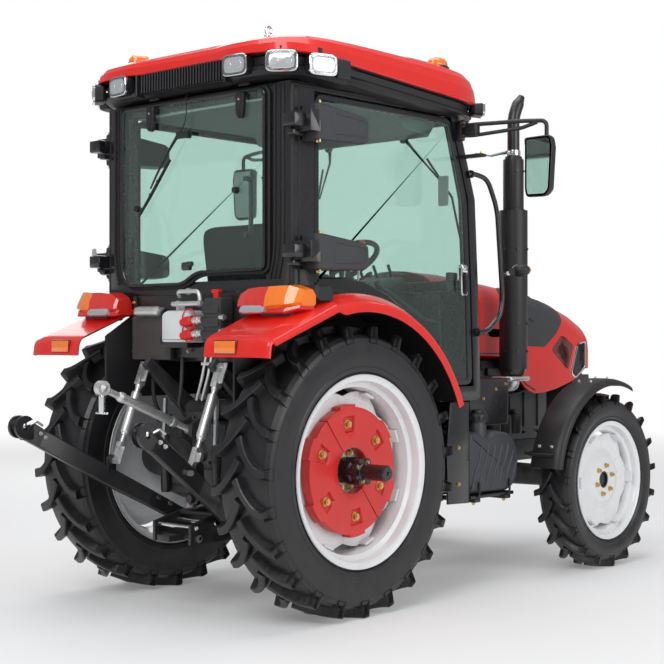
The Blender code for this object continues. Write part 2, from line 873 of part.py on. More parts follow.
def hood_ring(x, half, top, low, place):
    # A U-section, open below, with rounded shoulders.
    outer = ((half, low), (half, top - 0.110), (half - 0.055, top - 0.030), (half - 0.150, top))
    wall = hood_plate
    inner = (
        (half - wall, low),
        (half - wall, top - 0.115),
        (half - 0.065, top - 0.030 - wall),
        (half - 0.155, top - wall),
    )
    line = list(outer) + [(-y, z) for y, z in reversed(outer)]
    line += [(-y, z) for y, z in inner] + [(y, z) for y, z in reversed(inner)]
    return [(x - place[0], y, z - place[2]) for y, z in line]


def hood():
    place = (hood_hinge[0], 0.0, hood_hinge[1])
    # x, half width, top, lower edge
    stations = (
        (hood_rear_x, 0.300, 1.600, 1.160),
        (1.690, 0.300, 1.560, 1.140),
        (2.060, 0.298, 1.515, 0.925),
        (2.400, 0.290, 1.440, 0.980),
        (hood_front_x, 0.275, 1.370, 1.060),
    )
    skin("hood", [hood_ring(*row, place) for row in stations], red, place)
    front = (
        (hood_front_x + gap, 0.275, 1.370, 1.060),
        (2.650, 0.262, 1.330, 1.060),
        (nose_x, 0.235, 1.290, 1.075),
    )
    rings = []
    for x, half, top, low in front:
        line = ((half, low), (half, top - 0.110), (half - 0.055, top - 0.030), (half - 0.150, top))
        line = list(line) + [(-y, z) for y, z in reversed(line)]
        rings.append([(x - place[0], y, z - place[2]) for y, z in line])
    skin("hood_nose", rings, red, place)


# Side equipment ---------------------------------------------------------------

def fuel_tank():
    # Plan of the tank, rounded at its outer corners
    plan = (
        (0.932, -0.300),
        (0.932, -0.620),
        (0.962, -0.650),
        (1.335, -0.650),
        (1.370, -0.610),
        (1.370, -0.300),
    )
    tank = prism("fuel_tank", plan, 0.455, 0.775, tank_grey, "Z")
    neck = ((0.770, 0.0), (0.770, 0.045), (0.880, 0.045), (0.885, 0.0))
    join(tank, turned("tank_cap", neck, plastic, (1.065, -0.600, 0.0), 16, (0, 0, 1)))


def side_apron(label, side):
    # Bracket plate from the drive line and the plate it carries in front of the rear wheel
    inner, outer = gearbox_half_y + gap, 0.655
    shape = ((0.905, 0.500), (0.931, 0.500), (0.931, 0.760), (0.905, 0.760))
    low, high = sorted((side * inner, side * (outer - 0.005)))
    body = prism(f"side_apron_{label}", shape, low, high, black)
    plate = (
        (0.755, 0.430),
        (0.925, 0.424),
        (0.925, 0.925),
        (0.775, 0.925),
        (0.745, 0.700),
    )
    low, high = sorted((side * (outer - 0.012), side * outer))
    join(body, prism(f"apron_plate_{label}", plate, low, high, black))
    if label == "left":
        low, high = sorted((side * 0.300, side * 0.640))
        join(body, block("battery_box", (0.920, low, 0.500), (1.365, high, 0.800), plastic))


def heat_shield():
    block("heat_shield", (1.080, -0.545, 0.790), (1.420, -block_half_y - gap, 1.030), plastic)


def exhaust():
    x, y = 1.600, -0.450
    body = turned(
        "exhaust",
        (
            (1.030, 0.0),
            (1.030, 0.040),
            (1.059, 0.080),
            (1.848, 0.080),
            (1.870, 0.0535),
            (2.204, 0.0535),
            (2.210, 0.032),
            (2.380, 0.032),
            (2.380, 0.0),
        ),
        black,
        (x, y, 0.0),
        16,
        (0, 0, 1),
    )
    bend = rounded(((x, y, 2.350), (x, y, 2.470), (x + 0.060, y - 0.010, 2.560)), 0.080)
    elbow = ((x, y, 1.050), (x, y, 1.000), (x, -block_half_y - gap, 1.000))
    join(body, tube("tail_pipe", bend, 0.032, black))
    join(body, tube("exhaust_elbow", rounded(elbow, 0.045), 0.036, black))


def mirror(label, side):
    y = side * 1.020
    low, high = sorted((y - 0.090, y + 0.090))
    case = block(f"mirror_{label}", (0.995, low, 1.920), (1.055, high, 2.220), plastic)
    root = side * (cab_half_y + 0.0025)
    arm = ((0.877, root, 2.270), (0.900, side * 0.760, 2.275), (1.025, y, 2.262), (1.025, y, 2.190))
    join(case, tube(f"mirror_arm_{label}", rounded(arm, 0.020), 0.012, black))


def grab_rail(label, side):
    # Bent tube beside the front pillar, with the turn lamp on a short stalk
    seat_y = side * (cab_half_y + 0.012 + gap)
    y = side * (cab_half_y + 0.020)
    route = (
        (0.960, seat_y, 2.060),
        (1.120, y, 2.040),
        (1.180, y, 1.900),
        (1.230, y, 1.440),
        (1.100, seat_y, 1.270),
        (1.010, seat_y, 1.270),
    )
    rail = tube(f"grab_rail_{label}", rounded(route, 0.035), 0.012, black)
    low, high = sorted((side * 0.660, side * 0.780))
    case = block(f"turn_lamp_{label}", (1.270, low, 1.560), (1.330, high, 1.630), amber)
    stalk = ((1.215, y, 1.560), (1.250, side * 0.680, 1.580), (1.300, side * 0.700, 1.590))
    join(rail, case, tube(f"lamp_stalk_{label}", stalk, 0.010, black))


# Rear wall equipment ----------------------------------------------------------

def rear_fittings():
    # Panel below the rear window, with the blank plate, the washer bottle and the couplers
    back = cab_rear_x - gap
    panel = block("rear_panel", (back - 0.012, -0.400, 1.150), (back, 0.400, 1.440), plastic)
    face = back - 0.006
    board = block("plate_board", (back - 0.040, 0.110, 1.140), (face, 0.370, 1.340), plastic)
    bottle = block("washer_bottle", (back - 0.110, -0.060, 1.220), (face, 0.100, 1.370), frost)
    join(panel, board, bottle)
    low = back - 0.012 - gap
    block("coupler_block", (low - 0.110, -0.260, 1.180), (low, -0.075, 1.430), iron)


def hitch_frame():
    plate_y = 0.130
    pin_x, pin_z = link_pivot
    top = 0.440 - gap
    body = block("drawbar_frame", (-0.300, -plate_y, top - 0.020), (0.050, plate_y, top), black)
    for label, side in sides:
        low, high = sorted((side * (plate_y - 0.016), side * plate_y))
        cheek = ((0.050, top - 0.005), (-0.300, top - 0.005), (-0.450, 0.400), (-0.450, 0.310))
        cheek += ((-0.120, 0.310), (0.050, 0.400))
        join(body, prism(f"drawbar_cheek_{label}", cheek, low, high, black))
        boss = ((plate_y - 0.010, 0.0), (plate_y - 0.010, 0.034), (0.145, 0.034), (0.145, 0.0))
        shape = [(side * a, r) for a, r in boss]
        join(body, turned(f"link_boss_{label}", shape, black, (pin_x, 0.0, pin_z), 12))
    bar = block("drawbar", (-0.500, -0.040, 0.322), (0.000, 0.040, 0.350), black)
    half = plate_y - 0.008
    pin = ((-half, 0.0), (-half, 0.014), (half, 0.014), (half, 0.0))
    cross = turned("drawbar_pin", pin, zinc, (-0.400, 0.0, 0.336), 12)
    other = turned("drawbar_pin_front", pin, zinc, (-0.050, 0.0, 0.336), 12)
    join(body, bar, cross, other)


def lower_link(label, side):
    # Straight in side view; in plan it runs back from its pivot and then bows outward.
    start, end = Vector(link_pivot), Vector(link_ball)
    run = end - start
    length = run.length
    rise = math.atan2(run.y, -run.x)
    # share of the length, inner face from the tractor's middle, half depth
    stations = (
        (-0.045, link_inner_y, 0.030),
        (0.060, link_inner_y, 0.036),
        (0.480, 0.2853, 0.040),
        (0.920, link_ball_y - 0.024, 0.040),
        (0.935, link_ball_y - 0.034, 0.052),
        (1.060, link_ball_y - 0.034, 0.052),
    )
    rings = []
    for share, inner, half in stations:
        wide = 0.068 if share > 0.930 else link_thick
        u = -share * length
        ring = [(u, side * inner, -half), (u, side * (inner + wide), -half)]
        ring += [(u, side * (inner + wide), half), (u, side * inner, half)]
        rings.append(ring)
    place = (start.x, 0.0, start.y)
    link = skin(f"lower_link_{label}", rings, black, place)
    link.rotation_euler = (0.0, rise, 0.0)
    # Boss on the inner face that takes the lift rod's foot pin
    foot = rod_inner_y + rod_thick + gap
    boss = ((foot, 0.0), (foot, 0.022), (foot + 0.025, 0.022), (foot + 0.025, 0.0))
    lug = turned(f"rod_boss_{label}", [(side * a, r) for a, r in boss], black, place, 12)
    lug.location = (rod_foot[0], 0.0, rod_foot[1])
    web_low, web_high = sorted((side * (foot + 0.006), side * (foot + 0.025)))
    web = block(
        f"rod_web_{label}",
        (rod_foot[0] - 0.030, web_low, rod_foot[1] - 0.085),
        (rod_foot[0] + 0.030, web_high, rod_foot[1]),
        black,
    )
    join(link, lug, web)


def lift_arms():
    # Both arms on the shaft that lies across the top of the gearbox
    place = (shaft_axis[0], 0.0, shaft_axis[1])
    half = rod_inner_y - gap
    shaft = ((-half, 0.0), (-half, shaft_radius), (half, shaft_radius), (half, 0.0))
    arms = turned("lift_arms", shaft, black, place, 16)
    run = Vector(rod_top) - Vector(shaft_axis)
    across = Vector((-run.y, run.x)).normalized()
    tip = run + run.normalized() * 0.028
    outline = [across * 0.044, tip + across * 0.024, tip - across * 0.024, -across * 0.044]
    for label, side in sides:
        low, high = sorted((side * (half - 0.032), side * half))
        shape = [tuple(spot) for spot in outline]
        join(arms, prism(f"lift_arm_{label}", shape, low, high, black, "Y", place))


def lift_rod(label, side):
    place = (rod_top[0], 0.0, rod_top[1])
    run = Vector(rod_foot) - Vector(rod_top)
    way = run.normalized()
    across = Vector((-way.y, way.x))
    low, high = sorted((side * rod_inner_y, side * (rod_inner_y + rod_thick)))
    head, foot = -way * 0.026, run + way * 0.024
    outline = [head + across * 0.020, foot + across * 0.020, foot - across * 0.020, head - across * 0.020]
    prism(f"lift_rod_{label}", [tuple(v) for v in outline], low, high, zinc, "Y", place)


def top_link():
    place = (top_pin[0], 0.0, top_pin[1])
    run = Vector(top_eye) - Vector(top_pin)
    way = run.normalized()
    across = Vector((-way.y, way.x))
    half = top_link_half
    head, foot = -way * half, run + way * 0.015
    outline = [head + across * half, foot + across * half, foot - across * half, head - across * half]
    link = prism("top_link", [tuple(v) for v in outline], -half, half, zinc, "Y", place)
    # Eye that takes the implement's top pin
    wide = top_eye_half
    eye = ((-wide, 0.0), (-wide, top_eye_radius), (wide, top_eye_radius), (wide, 0.0))
    join(link, turned("top_link_eye", eye, zinc, (top_eye[0], 0.0, top_eye[1]), 24))


def build():
    for label, side in sides:
        rear_wheel(label, side)
        front_wheel(label, side)
        knuckle(label, side)
        front_mudguard(label, side)
        rear_mudguard(label, side)
        rear_lamp(label, side)
        door(label, side)
        side_apron(label, side)
        grab_rail(label, side)
        mirror(label, side)
        lower_link(label, side)
        lift_rod(label, side)
    drive_line()
    front_support()
    front_axle()
    cab_frame()
    windshield()
    rear_window()
    tub()
    seat()
    dashboard()
    roof()
    hood()
    fuel_tank()
    heat_shield()
    exhaust()
    rear_fittings()
    hitch_frame()
    lift_arms()
    top_link()


build()
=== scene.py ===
import math
import bmesh
import bpy
from mathutils import Matrix, Vector


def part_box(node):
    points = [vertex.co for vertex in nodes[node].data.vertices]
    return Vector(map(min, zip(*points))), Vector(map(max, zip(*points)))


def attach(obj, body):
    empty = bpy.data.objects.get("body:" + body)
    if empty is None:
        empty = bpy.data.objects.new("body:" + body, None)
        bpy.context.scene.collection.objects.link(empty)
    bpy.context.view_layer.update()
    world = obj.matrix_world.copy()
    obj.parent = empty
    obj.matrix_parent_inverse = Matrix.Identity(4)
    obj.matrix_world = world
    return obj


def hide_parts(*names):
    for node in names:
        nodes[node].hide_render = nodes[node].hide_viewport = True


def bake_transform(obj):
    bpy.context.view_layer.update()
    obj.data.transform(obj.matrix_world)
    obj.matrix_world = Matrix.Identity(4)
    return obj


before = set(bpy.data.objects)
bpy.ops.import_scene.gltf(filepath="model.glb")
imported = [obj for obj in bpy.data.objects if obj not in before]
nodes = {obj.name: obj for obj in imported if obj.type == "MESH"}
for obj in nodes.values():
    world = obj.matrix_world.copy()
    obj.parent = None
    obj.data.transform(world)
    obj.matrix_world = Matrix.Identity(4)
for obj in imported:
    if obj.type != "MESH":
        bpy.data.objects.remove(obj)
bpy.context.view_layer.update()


def middle(node):  # centre of a CAD node's box
    low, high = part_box(node)
    return (low + high) / 2


rearAxle = middle("rear_tyre_right")  # every x below is measured forwards from this axle
sides = {"right": -1, "left": 1}


def at(x, y, z):  # a point from the rear axle, the centre plane and the ground
    return Vector((rearAxle.x + x, y, z))


# shader groups
def shaderGroup(name, inputs, outputs):
    group = bpy.data.node_groups.new(name, "ShaderNodeTree")
    for label, kind, value in inputs:
        socket = group.interface.new_socket(name=label, in_out="INPUT", socket_type=kind)
        socket.default_value = value
    for label, kind in outputs:
        group.interface.new_socket(name=label, in_out="OUTPUT", socket_type=kind)
    add, link = group.nodes.new, group.links.new
    return group, add, link, add("NodeGroupInput"), add("NodeGroupOutput")


def mathNode(add, link, operation, first, second=None, clamp=False):
    node = add("ShaderNodeMath")
    node.operation, node.use_clamp = operation, clamp
    for socket, value in zip(node.inputs, (first, second)):
        if value is None:
            continue
        if isinstance(value, (int, float)):
            socket.default_value = value
        else:
            link(value, socket)
    return node.outputs[0]


def noiseNode(add, link, vector, scale, detail=3.0, roughness=0.55):
    node = add("ShaderNodeTexNoise")
    node.inputs["Detail"].default_value = detail
    node.inputs["Roughness"].default_value = roughness
    link(vector, node.inputs["Vector"])
    if isinstance(scale, (int, float)):
        node.inputs["Scale"].default_value = scale
    else:
        link(scale, node.inputs["Scale"])
    return node.outputs[0]


def mixColour(add, link, factor, first, second, blend="MIX"):
    node = add("ShaderNodeMix")
    node.data_type, node.blend_type = "RGBA", blend
    for socket, value in ((node.inputs["Factor"], factor), (node.inputs["A"], first), (node.inputs["B"], second)):
        if isinstance(value, (int, float)):
            socket.default_value = value
        elif isinstance(value, tuple):
            socket.default_value = (*value, 1.0)
        else:
            link(value, socket)
    return node.outputs["Result"]


def buildTone():  # slow light and dark drift in a colour, with a matching roughness drift
    group, add, link, source, target = shaderGroup(
        "toneDrift",
        [("Colour", "NodeSocketColor", (0.5, 0.5, 0.5, 1)), ("Amount", "NodeSocketFloat", 0.1),
         ("Scale", "NodeSocketFloat", 4.0), ("Roughness", "NodeSocketFloat", 0.4), ("Spread", "NodeSocketFloat", 0.1)],
        [("Colour", "NodeSocketColor"), ("Roughness", "NodeSocketFloat")])
    place = add("ShaderNodeTexCoord").outputs["Object"]
    broad = noiseNode(add, link, place, source.outputs["Scale"], 4.0)
    fine = noiseNode(add, link, place, mathNode(add, link, "MULTIPLY", source.outputs["Scale"], 9.0), 3.0)
    blend = mathNode(add, link, "ADD", mathNode(add, link, "MULTIPLY", broad, 0.65),
                     mathNode(add, link, "MULTIPLY", fine, 0.35))
    centred = mathNode(add, link, "SUBTRACT", blend, 0.5)
    gain = mathNode(add, link, "MULTIPLY", centred, source.outputs["Amount"])
    scale = add("ShaderNodeVectorMath")
    scale.operation = "SCALE"
    link(source.outputs["Colour"], scale.inputs[0])
    link(mathNode(add, link, "ADD", mathNode(add, link, "MULTIPLY", gain, 4.0), 1.0), scale.inputs["Scale"])
    link(scale.outputs[0], target.inputs["Colour"])
    rough = mathNode(add, link, "MULTIPLY", centred, source.outputs["Spread"])
    link(mathNode(add, link, "ADD", mathNode(add, link, "MULTIPLY", rough, 4.0), source.outputs["Roughness"], True),
         target.inputs["Roughness"])
    return group


def buildDust():  # pale dust that lies on upward faces and gathers low down
    group, add, link, source, target = shaderGroup(
        "dustVeil",
        [("Colour", "NodeSocketColor", (0.5, 0.5, 0.5, 1)), ("Roughness", "NodeSocketFloat", 0.4),
         ("Dust", "NodeSocketColor", (0.30, 0.27, 0.23, 1)), ("Amount", "NodeSocketFloat", 0.2),
         ("Reach", "NodeSocketFloat", 0.6)],
        [("Colour", "NodeSocketColor"), ("Roughness", "NodeSocketFloat"), ("Mask", "NodeSocketFloat")])
    place = add("ShaderNodeTexCoord").outputs["Object"]
    facing = add("ShaderNodeSeparateXYZ")
    link(add("ShaderNodeNewGeometry").outputs["Normal"], facing.inputs[0])
    height = add("ShaderNodeSeparateXYZ")
    link(place, height.inputs[0])
    low = mathNode(add, link, "SUBTRACT", 1.0, mathNode(
        add, link, "DIVIDE", height.outputs["Z"], source.outputs["Reach"]), True)
    upward = mathNode(add, link, "MULTIPLY", facing.outputs["Z"], 0.55, True)
    patch = noiseNode(add, link, place, 14.0, 5.0, 0.62)
    contrast = mathNode(add, link, "MULTIPLY", mathNode(add, link, "SUBTRACT", patch, 0.36), 3.0, True)
    gather = mathNode(add, link, "ADD", mathNode(add, link, "ADD", upward, low), 0.18)
    mask = mathNode(add, link, "MULTIPLY", mathNode(add, link, "MULTIPLY", gather, contrast),
                    source.outputs["Amount"], True)
    link(mixColour(add, link, mask, source.outputs["Colour"], source.outputs["Dust"]), target.inputs["Colour"])
    dull = mathNode(add, link, "MULTIPLY", mask, 0.5)
    link(mathNode(add, link, "ADD", source.outputs["Roughness"], dull, True), target.inputs["Roughness"])
    link(mask, target.inputs["Mask"])
    return group


def buildGrain():  # fine bump of moulded plastic, cast metal, rubber or sprayed paint
    group, add, link, source, target = shaderGroup(
        "fineGrain",
        [("Scale", "NodeSocketFloat", 200.0), ("Depth", "NodeSocketFloat", 1.0), ("Pitting", "NodeSocketFloat", 0.0)],
        [("Height", "NodeSocketFloat")])
    place = add("ShaderNodeTexCoord").outputs["Object"]
    grain = noiseNode(add, link, place, source.outputs["Scale"], 2.0, 0.6)
    cells = add("ShaderNodeTexVoronoi")
    link(place, cells.inputs["Vector"])
    link(mathNode(add, link, "MULTIPLY", source.outputs["Scale"], 0.6), cells.inputs["Scale"])
    pits = mathNode(add, link, "MULTIPLY", cells.outputs["Distance"], source.outputs["Pitting"])
    total = mathNode(add, link, "ADD", grain, pits)
    link(mathNode(add, link, "MULTIPLY", total, source.outputs["Depth"]), target.inputs["Height"])
    return group


groups = {"tone": buildTone(), "dust": buildDust(), "grain": buildGrain()}


def placeGroup(material, key, **values):
    node = material.node_tree.nodes.new("ShaderNodeGroup")
    node.node_tree = groups[key]
    for label, value in values.items():
        node.inputs[label].default_value = (*value, 1.0) if isinstance(value, tuple) else value
    return node


def makeFinish(name, colour, roughness, metal=0.0, drift=0.05, driftScale=4.0, spread=0.05,
               dust=0.0, reach=0.6, dustColour=(0.32, 0.29, 0.25), grain=None, bump=0.1, bumpDistance=0.0006,
               coat=0.0, coatRoughness=0.05, specular=0.5, through=0.0, ior=1.5, glow=None):
    material = bpy.data.materials.new(name)
    material.use_nodes = True
    tree = material.node_tree
    shader = tree.nodes["Principled BSDF"]
    shader.inputs["Metallic"].default_value = metal
    shader.inputs["Coat Weight"].default_value = coat
    shader.inputs["Coat Roughness"].default_value = coatRoughness
    shader.inputs["Specular IOR Level"].default_value = specular
    shader.inputs["Transmission Weight"].default_value = through
    shader.inputs["IOR"].default_value = ior
    if glow:
        shader.inputs["Emission Color"].default_value = (*glow[0], 1.0)
        shader.inputs["Emission Strength"].default_value = glow[1]
    tone = placeGroup(material, "tone", Colour=colour, Amount=drift, Scale=driftScale,
                      Roughness=roughness, Spread=spread)
    last = tone
    if dust:
        last = placeGroup(material, "dust", Dust=dustColour, Amount=dust, Reach=reach)
        tree.links.new(tone.outputs["Colour"], last.inputs["Colour"])
        tree.links.new(tone.outputs["Roughness"], last.inputs["Roughness"])
    tree.links.new(last.outputs["Colour"], shader.inputs["Base Color"])
    tree.links.new(last.outputs["Roughness"], shader.inputs["Roughness"])
    if grain:
        bumpNode = tree.nodes.new("ShaderNodeBump")
        bumpNode.inputs["Strength"].default_value = bump
        bumpNode.inputs["Distance"].default_value = bumpDistance
        texture = placeGroup(material, "grain", Scale=grain[0], Depth=grain[1], Pitting=grain[2])
        tree.links.new(texture.outputs["Height"], bumpNode.inputs["Height"])
        tree.links.new(bumpNode.outputs["Normal"], shader.inputs["Normal"])
    return material


redPaint = makeFinish("redPaint", (0.80, 0.016, 0.010), 0.32, drift=0.03, driftScale=1.3, spread=0.03,
                      dust=0.05, grain=(55.0, 1.0, 0.0), bump=0.05, bumpDistance=0.0004, coat=0.6, coatRoughness=0.06,
                      specular=0.35)
redCast = makeFinish("redCast", (0.66, 0.014, 0.010), 0.42, drift=0.06, driftScale=9.0,
                     dust=0.12, grain=(170.0, 1.0, 0.5), bump=0.35, coat=0.35, coatRoughness=0.2)
# red paint darkened as it looks in shade: painted shade for the recess on the hood's side and the pocket round each
# tail reflector
paintedShadeRed = makeFinish("paintedShadeRed", (0.16, 0.008, 0.008), 0.34, drift=0.05, coat=0.5, coatRoughness=0.1)
rimWhite = makeFinish("rimWhite", (0.80, 0.81, 0.82), 0.28, drift=0.02, driftScale=3.0,
                      dust=0.10, reach=0.5, grain=(60.0, 1.0, 0.0), bump=0.06, coat=0.5, coatRoughness=0.1)
chassisBlack = makeFinish("chassisBlack", (0.011, 0.011, 0.013), 0.34, drift=0.08, spread=0.12,
                          dust=0.08, grain=(90.0, 1.0, 0.2), bump=0.12, coat=0.25, coatRoughness=0.2)
frameBlack = makeFinish("frameBlack", (0.008, 0.008, 0.010), 0.28, drift=0.06, spread=0.08,
                        dust=0.015, grain=(70.0, 1.0, 0.0), bump=0.06, coat=0.5, coatRoughness=0.12)
mouldedBlack = makeFinish("mouldedBlack", (0.013, 0.013, 0.015), 0.44, drift=0.06, spread=0.06,
                          dust=0.05, grain=(420.0, 1.0, 0.6), bump=0.12, bumpDistance=0.0003)
coverGrey = makeFinish("coverGrey", (0.040, 0.042, 0.047), 0.52, drift=0.06, spread=0.06,
                       dust=0.06, grain=(460.0, 1.0, 0.7), bump=0.35, bumpDistance=0.0004)
sealRubber = makeFinish("sealRubber", (0.010, 0.010, 0.011), 0.62, drift=0.05, spread=0.05,
                        grain=(300.0, 1.0, 0.3), bump=0.2)
tyreRubber = makeFinish("tyreRubber", (0.013, 0.013, 0.015), 0.38, drift=0.12, driftScale=7.0, spread=0.16,
                        dust=0.06, reach=0.5, grain=(150.0, 1.0, 0.5), bump=0.30)
castGrey = makeFinish("castGrey", (0.030, 0.031, 0.034), 0.50, drift=0.14, driftScale=7.0, spread=0.12,
                      dust=0.25, reach=0.8, grain=(130.0, 1.0, 1.0), bump=0.50, bumpDistance=0.0012)
tankGrey = makeFinish("tankGrey", (0.036, 0.039, 0.046), 0.44, drift=0.06, spread=0.06,
                      dust=0.12, grain=(340.0, 1.0, 0.6), bump=0.28, bumpDistance=0.0005)
zincPlate = makeFinish("zincPlate", (0.74, 0.74, 0.73), 0.36, metal=0.85, drift=0.10, driftScale=14.0,
                       spread=0.20, dust=0.08, grain=(120.0, 1.0, 0.4), bump=0.15)
brightChrome = makeFinish("brightChrome", (0.74, 0.75, 0.77), 0.10, metal=1.0, drift=0.03,
                          driftScale=9.0, spread=0.06)
goldPlate = makeFinish("goldPlate", (0.72, 0.50, 0.20), 0.32, metal=1.0, drift=0.12, driftScale=30.0,
                       spread=0.15, grain=(240.0, 1.0, 0.2), bump=0.12)
darkSteel = makeFinish("darkSteel", (0.10, 0.10, 0.105), 0.38, metal=0.9, drift=0.12, driftScale=16.0,
                       spread=0.2, grain=(140.0, 1.0, 0.5), bump=0.2)
seatVinyl = makeFinish("seatVinyl", (0.020, 0.020, 0.022), 0.58, drift=0.08, driftScale=8.0,
                       grain=(260.0, 1.0, 0.8), bump=0.35)
headliner = makeFinish("headliner", (0.42, 0.43, 0.43), 0.85, drift=0.05,
                       grain=(520.0, 1.0, 0.3), bump=0.3)
floorMat = makeFinish("floorMat", (0.030, 0.030, 0.032), 0.75, drift=0.10, dust=0.2, reach=1.4,
                      grain=(160.0, 1.0, 0.8), bump=0.4)
tintedPane = makeFinish("tintedPane", (0.64, 0.80, 0.745), 0.02, drift=0.01, driftScale=1.0,
                        spread=0.01, through=1.0, ior=1.45)
amberLens = makeFinish("amberLens", (0.86, 0.20, 0.012), 0.14, drift=0.05, driftScale=20.0,
                       coat=1.0, coatRoughness=0.03, glow=((0.9, 0.16, 0.01), 0.12))
redLens = makeFinish("redLens", (0.66, 0.020, 0.014), 0.14, drift=0.05, driftScale=20.0,
                     coat=1.0, coatRoughness=0.03, glow=((0.7, 0.02, 0.01), 0.08))
clearLens = makeFinish("clearLens", (0.55, 0.57, 0.58), 0.12, drift=0.05, driftScale=60.0,
                       metal=0.4, coat=1.0, coatRoughness=0.02)
mirrorFace = makeFinish("mirrorFace", (0.78, 0.80, 0.80), 0.03, metal=1.0, drift=0.01, spread=0.01)
bottleWhite = makeFinish("bottleWhite", (0.74, 0.76, 0.76), 0.40, drift=0.04, driftScale=8.0,
                         dust=0.1, reach=2.0, grain=(120.0, 1.0, 0.0), bump=0.1)
boardGrey = makeFinish("boardGrey", (0.062, 0.054, 0.052), 0.50, drift=0.12, driftScale=9.0,
                       grain=(200.0, 1.0, 0.2), bump=0.1)
capRed = makeFinish("capRed", (0.70, 0.015, 0.012), 0.38, drift=0.06, driftScale=20.0,
                    grain=(300.0, 1.0, 0.2), bump=0.15)
orangeKnob = makeFinish("orangeKnob", (0.85, 0.17, 0.012), 0.34, drift=0.05, driftScale=20.0, coat=0.4)


def coatNode(node, material):  # a CAD node keeps its shape and takes this finish
    part = nodes[node]
    part.data.materials.clear()
    part.data.materials.append(material)


plainFinish = {
    "cab_frame": frameBlack, "roof": redPaint, "roof_lining": headliner, "windshield": tintedPane,
    "rear_window": frameBlack, "rear_glass": tintedPane, "cab_tub": mouldedBlack, "seat": seatVinyl,
    "dashboard": mouldedBlack, "steering_wheel": mouldedBlack, "hood": redPaint, "hood_nose": mouldedBlack,
    "fuel_tank": tankGrey, "heat_shield": chassisBlack, "exhaust": chassisBlack, "rear_panel": chassisBlack,
    "coupler_block": castGrey, "drawbar_frame": chassisBlack, "lift_arms": castGrey, "top_link": zincPlate,
    "engine_block": castGrey, "transmission": castGrey, "front_frame": chassisBlack, "front_axle": castGrey,
}
sidedFinish = {
    "rear_tyre": tyreRubber, "rear_rim": rimWhite, "wheel_weight": redCast, "front_tyre": tyreRubber,
    "front_rim": rimWhite, "knuckle": castGrey, "front_mudguard": mouldedBlack, "rear_mudguard": redPaint,
    "rear_lamp": redLens, "door": frameBlack, "door_glass": tintedPane, "side_apron": mouldedBlack,
    "grab_rail": frameBlack, "mirror": mouldedBlack, "lower_link": chassisBlack, "lift_rod": zincPlate,
}
for node, material in plainFinish.items():
    coatNode(node, material)
for node, material in sidedFinish.items():
    for side in sides:
        coatNode(f"{node}_{side}", material)
print("CAD nodes finished")


# making pieces
def loft(bm, rings):  # the first ring becomes a face, which is drawn out through the others
    face = bm.faces.new([bm.verts.new(point) for point in rings[0]])
    made = [face]
    for ring in rings[1:]:
        drawn = bmesh.ops.extrude_face_region(bm, geom=[face])["geom"]
        face = next(item for item in drawn if isinstance(item, bmesh.types.BMFace))
        for vert, point in zip(face.verts, ring):
            vert.co = point
        made.append(face)
    return made


def frameOf(direction):  # two unit vectors across a direction
    along = Vector(direction).normalized()
    across = along.cross(Vector((0, 0, 1)) if abs(along.z) < 0.9 else Vector((1, 0, 0))).normalized()
    return along, across, along.cross(across)


def pipe(bm, points, radius, sides=12, flat=1.0):  # a round bar through points; radius may be a list
    spots = [Vector(point) for point in points]
    radii = radius if isinstance(radius, (list, tuple)) else [radius] * len(spots)
    _, across, upward = frameOf(spots[1] - spots[0])
    rings = []
    for i, spot in enumerate(spots):
        ahead = spots[min(i + 1, len(spots) - 1)] - spots[max(i - 1, 0)]
        along = ahead.normalized()
        across = (across - along * across.dot(along)).normalized()
        upward = along.cross(across)
        rings.append([spot + (across * math.cos(turn) + upward * math.sin(turn) * flat) * radii[i]
                      for turn in (math.tau * k / sides for k in range(sides))])
    loft(bm, rings)


def hoop(bm, centre, axis, radius, tube, steps=48, sides=10):  # a closed ring
    _, across, upward = frameOf(axis)
    along, rings = Vector(axis).normalized(), []
    for k in range(steps + 1):
        turn = math.tau * (k % steps) / steps
        ray = across * math.cos(turn) + upward * math.sin(turn)
        rings.append([Vector(centre) + ray * (radius + tube * math.cos(a)) + along * tube * math.sin(a)
                      for a in (math.tau * i / sides for i in range(sides))])
    faces = loft(bm, rings)
    bmesh.ops.delete(bm, geom=[faces[0], faces[-1]], context="FACES_ONLY")
    bmesh.ops.remove_doubles(bm, verts=bm.verts, dist=1e-6)


def bend(points, radius, steps=4):  # rounds the corners of a route
    spots = [Vector(point) for point in points]
    route = [spots[0]]
    for before, corner, after in zip(spots, spots[1:], spots[2:]):
        reach = min(radius, (before - corner).length * 0.49, (after - corner).length * 0.49)
        first = corner + (before - corner).normalized() * reach
        last = corner + (after - corner).normalized() * reach
        for k in range(steps + 1):
            share = k / steps
            route.append(first.lerp(corner, share).lerp(corner.lerp(last, share), share))
    return route + [spots[-1]]


def bevelEdges(bm, edges, width, segments=2):
    bmesh.ops.bevel(bm, geom=edges, offset=width, offset_type="OFFSET", affect="EDGES", segments=segments,
                    profile=0.5, material=-1, clamp_overlap=True)


def box(bm, low, high, chamfer=0.0, segments=2, turn=None):
    low, high = Vector(low), Vector(high)
    centre, size = (low + high) / 2, high - low
    shape = Matrix.Diagonal((abs(size.x), abs(size.y), abs(size.z), 1.0))
    place = Matrix.Translation(centre) @ (turn.to_4x4() if turn else Matrix.Identity(4)) @ shape
    verts = bmesh.ops.create_cube(bm, size=1.0, matrix=place)["verts"]
    if chamfer:
        bevelEdges(bm, list({edge for vert in verts for edge in vert.link_edges}), chamfer, segments)
    return verts


def slab(bm, outline, axis, low, high, chamfer=0.0):  # an outline in the other two axes, given depth along axis
    def lift(point, depth):
        spot = list(point)
        spot.insert("XYZ".index(axis), depth)
        return Vector(spot)
    faces = loft(bm, [[lift(point, low) for point in outline], [lift(point, high) for point in outline]])
    if chamfer:
        bevelEdges(bm, list(faces[0].edges) + list(faces[-1].edges), chamfer)
    return faces


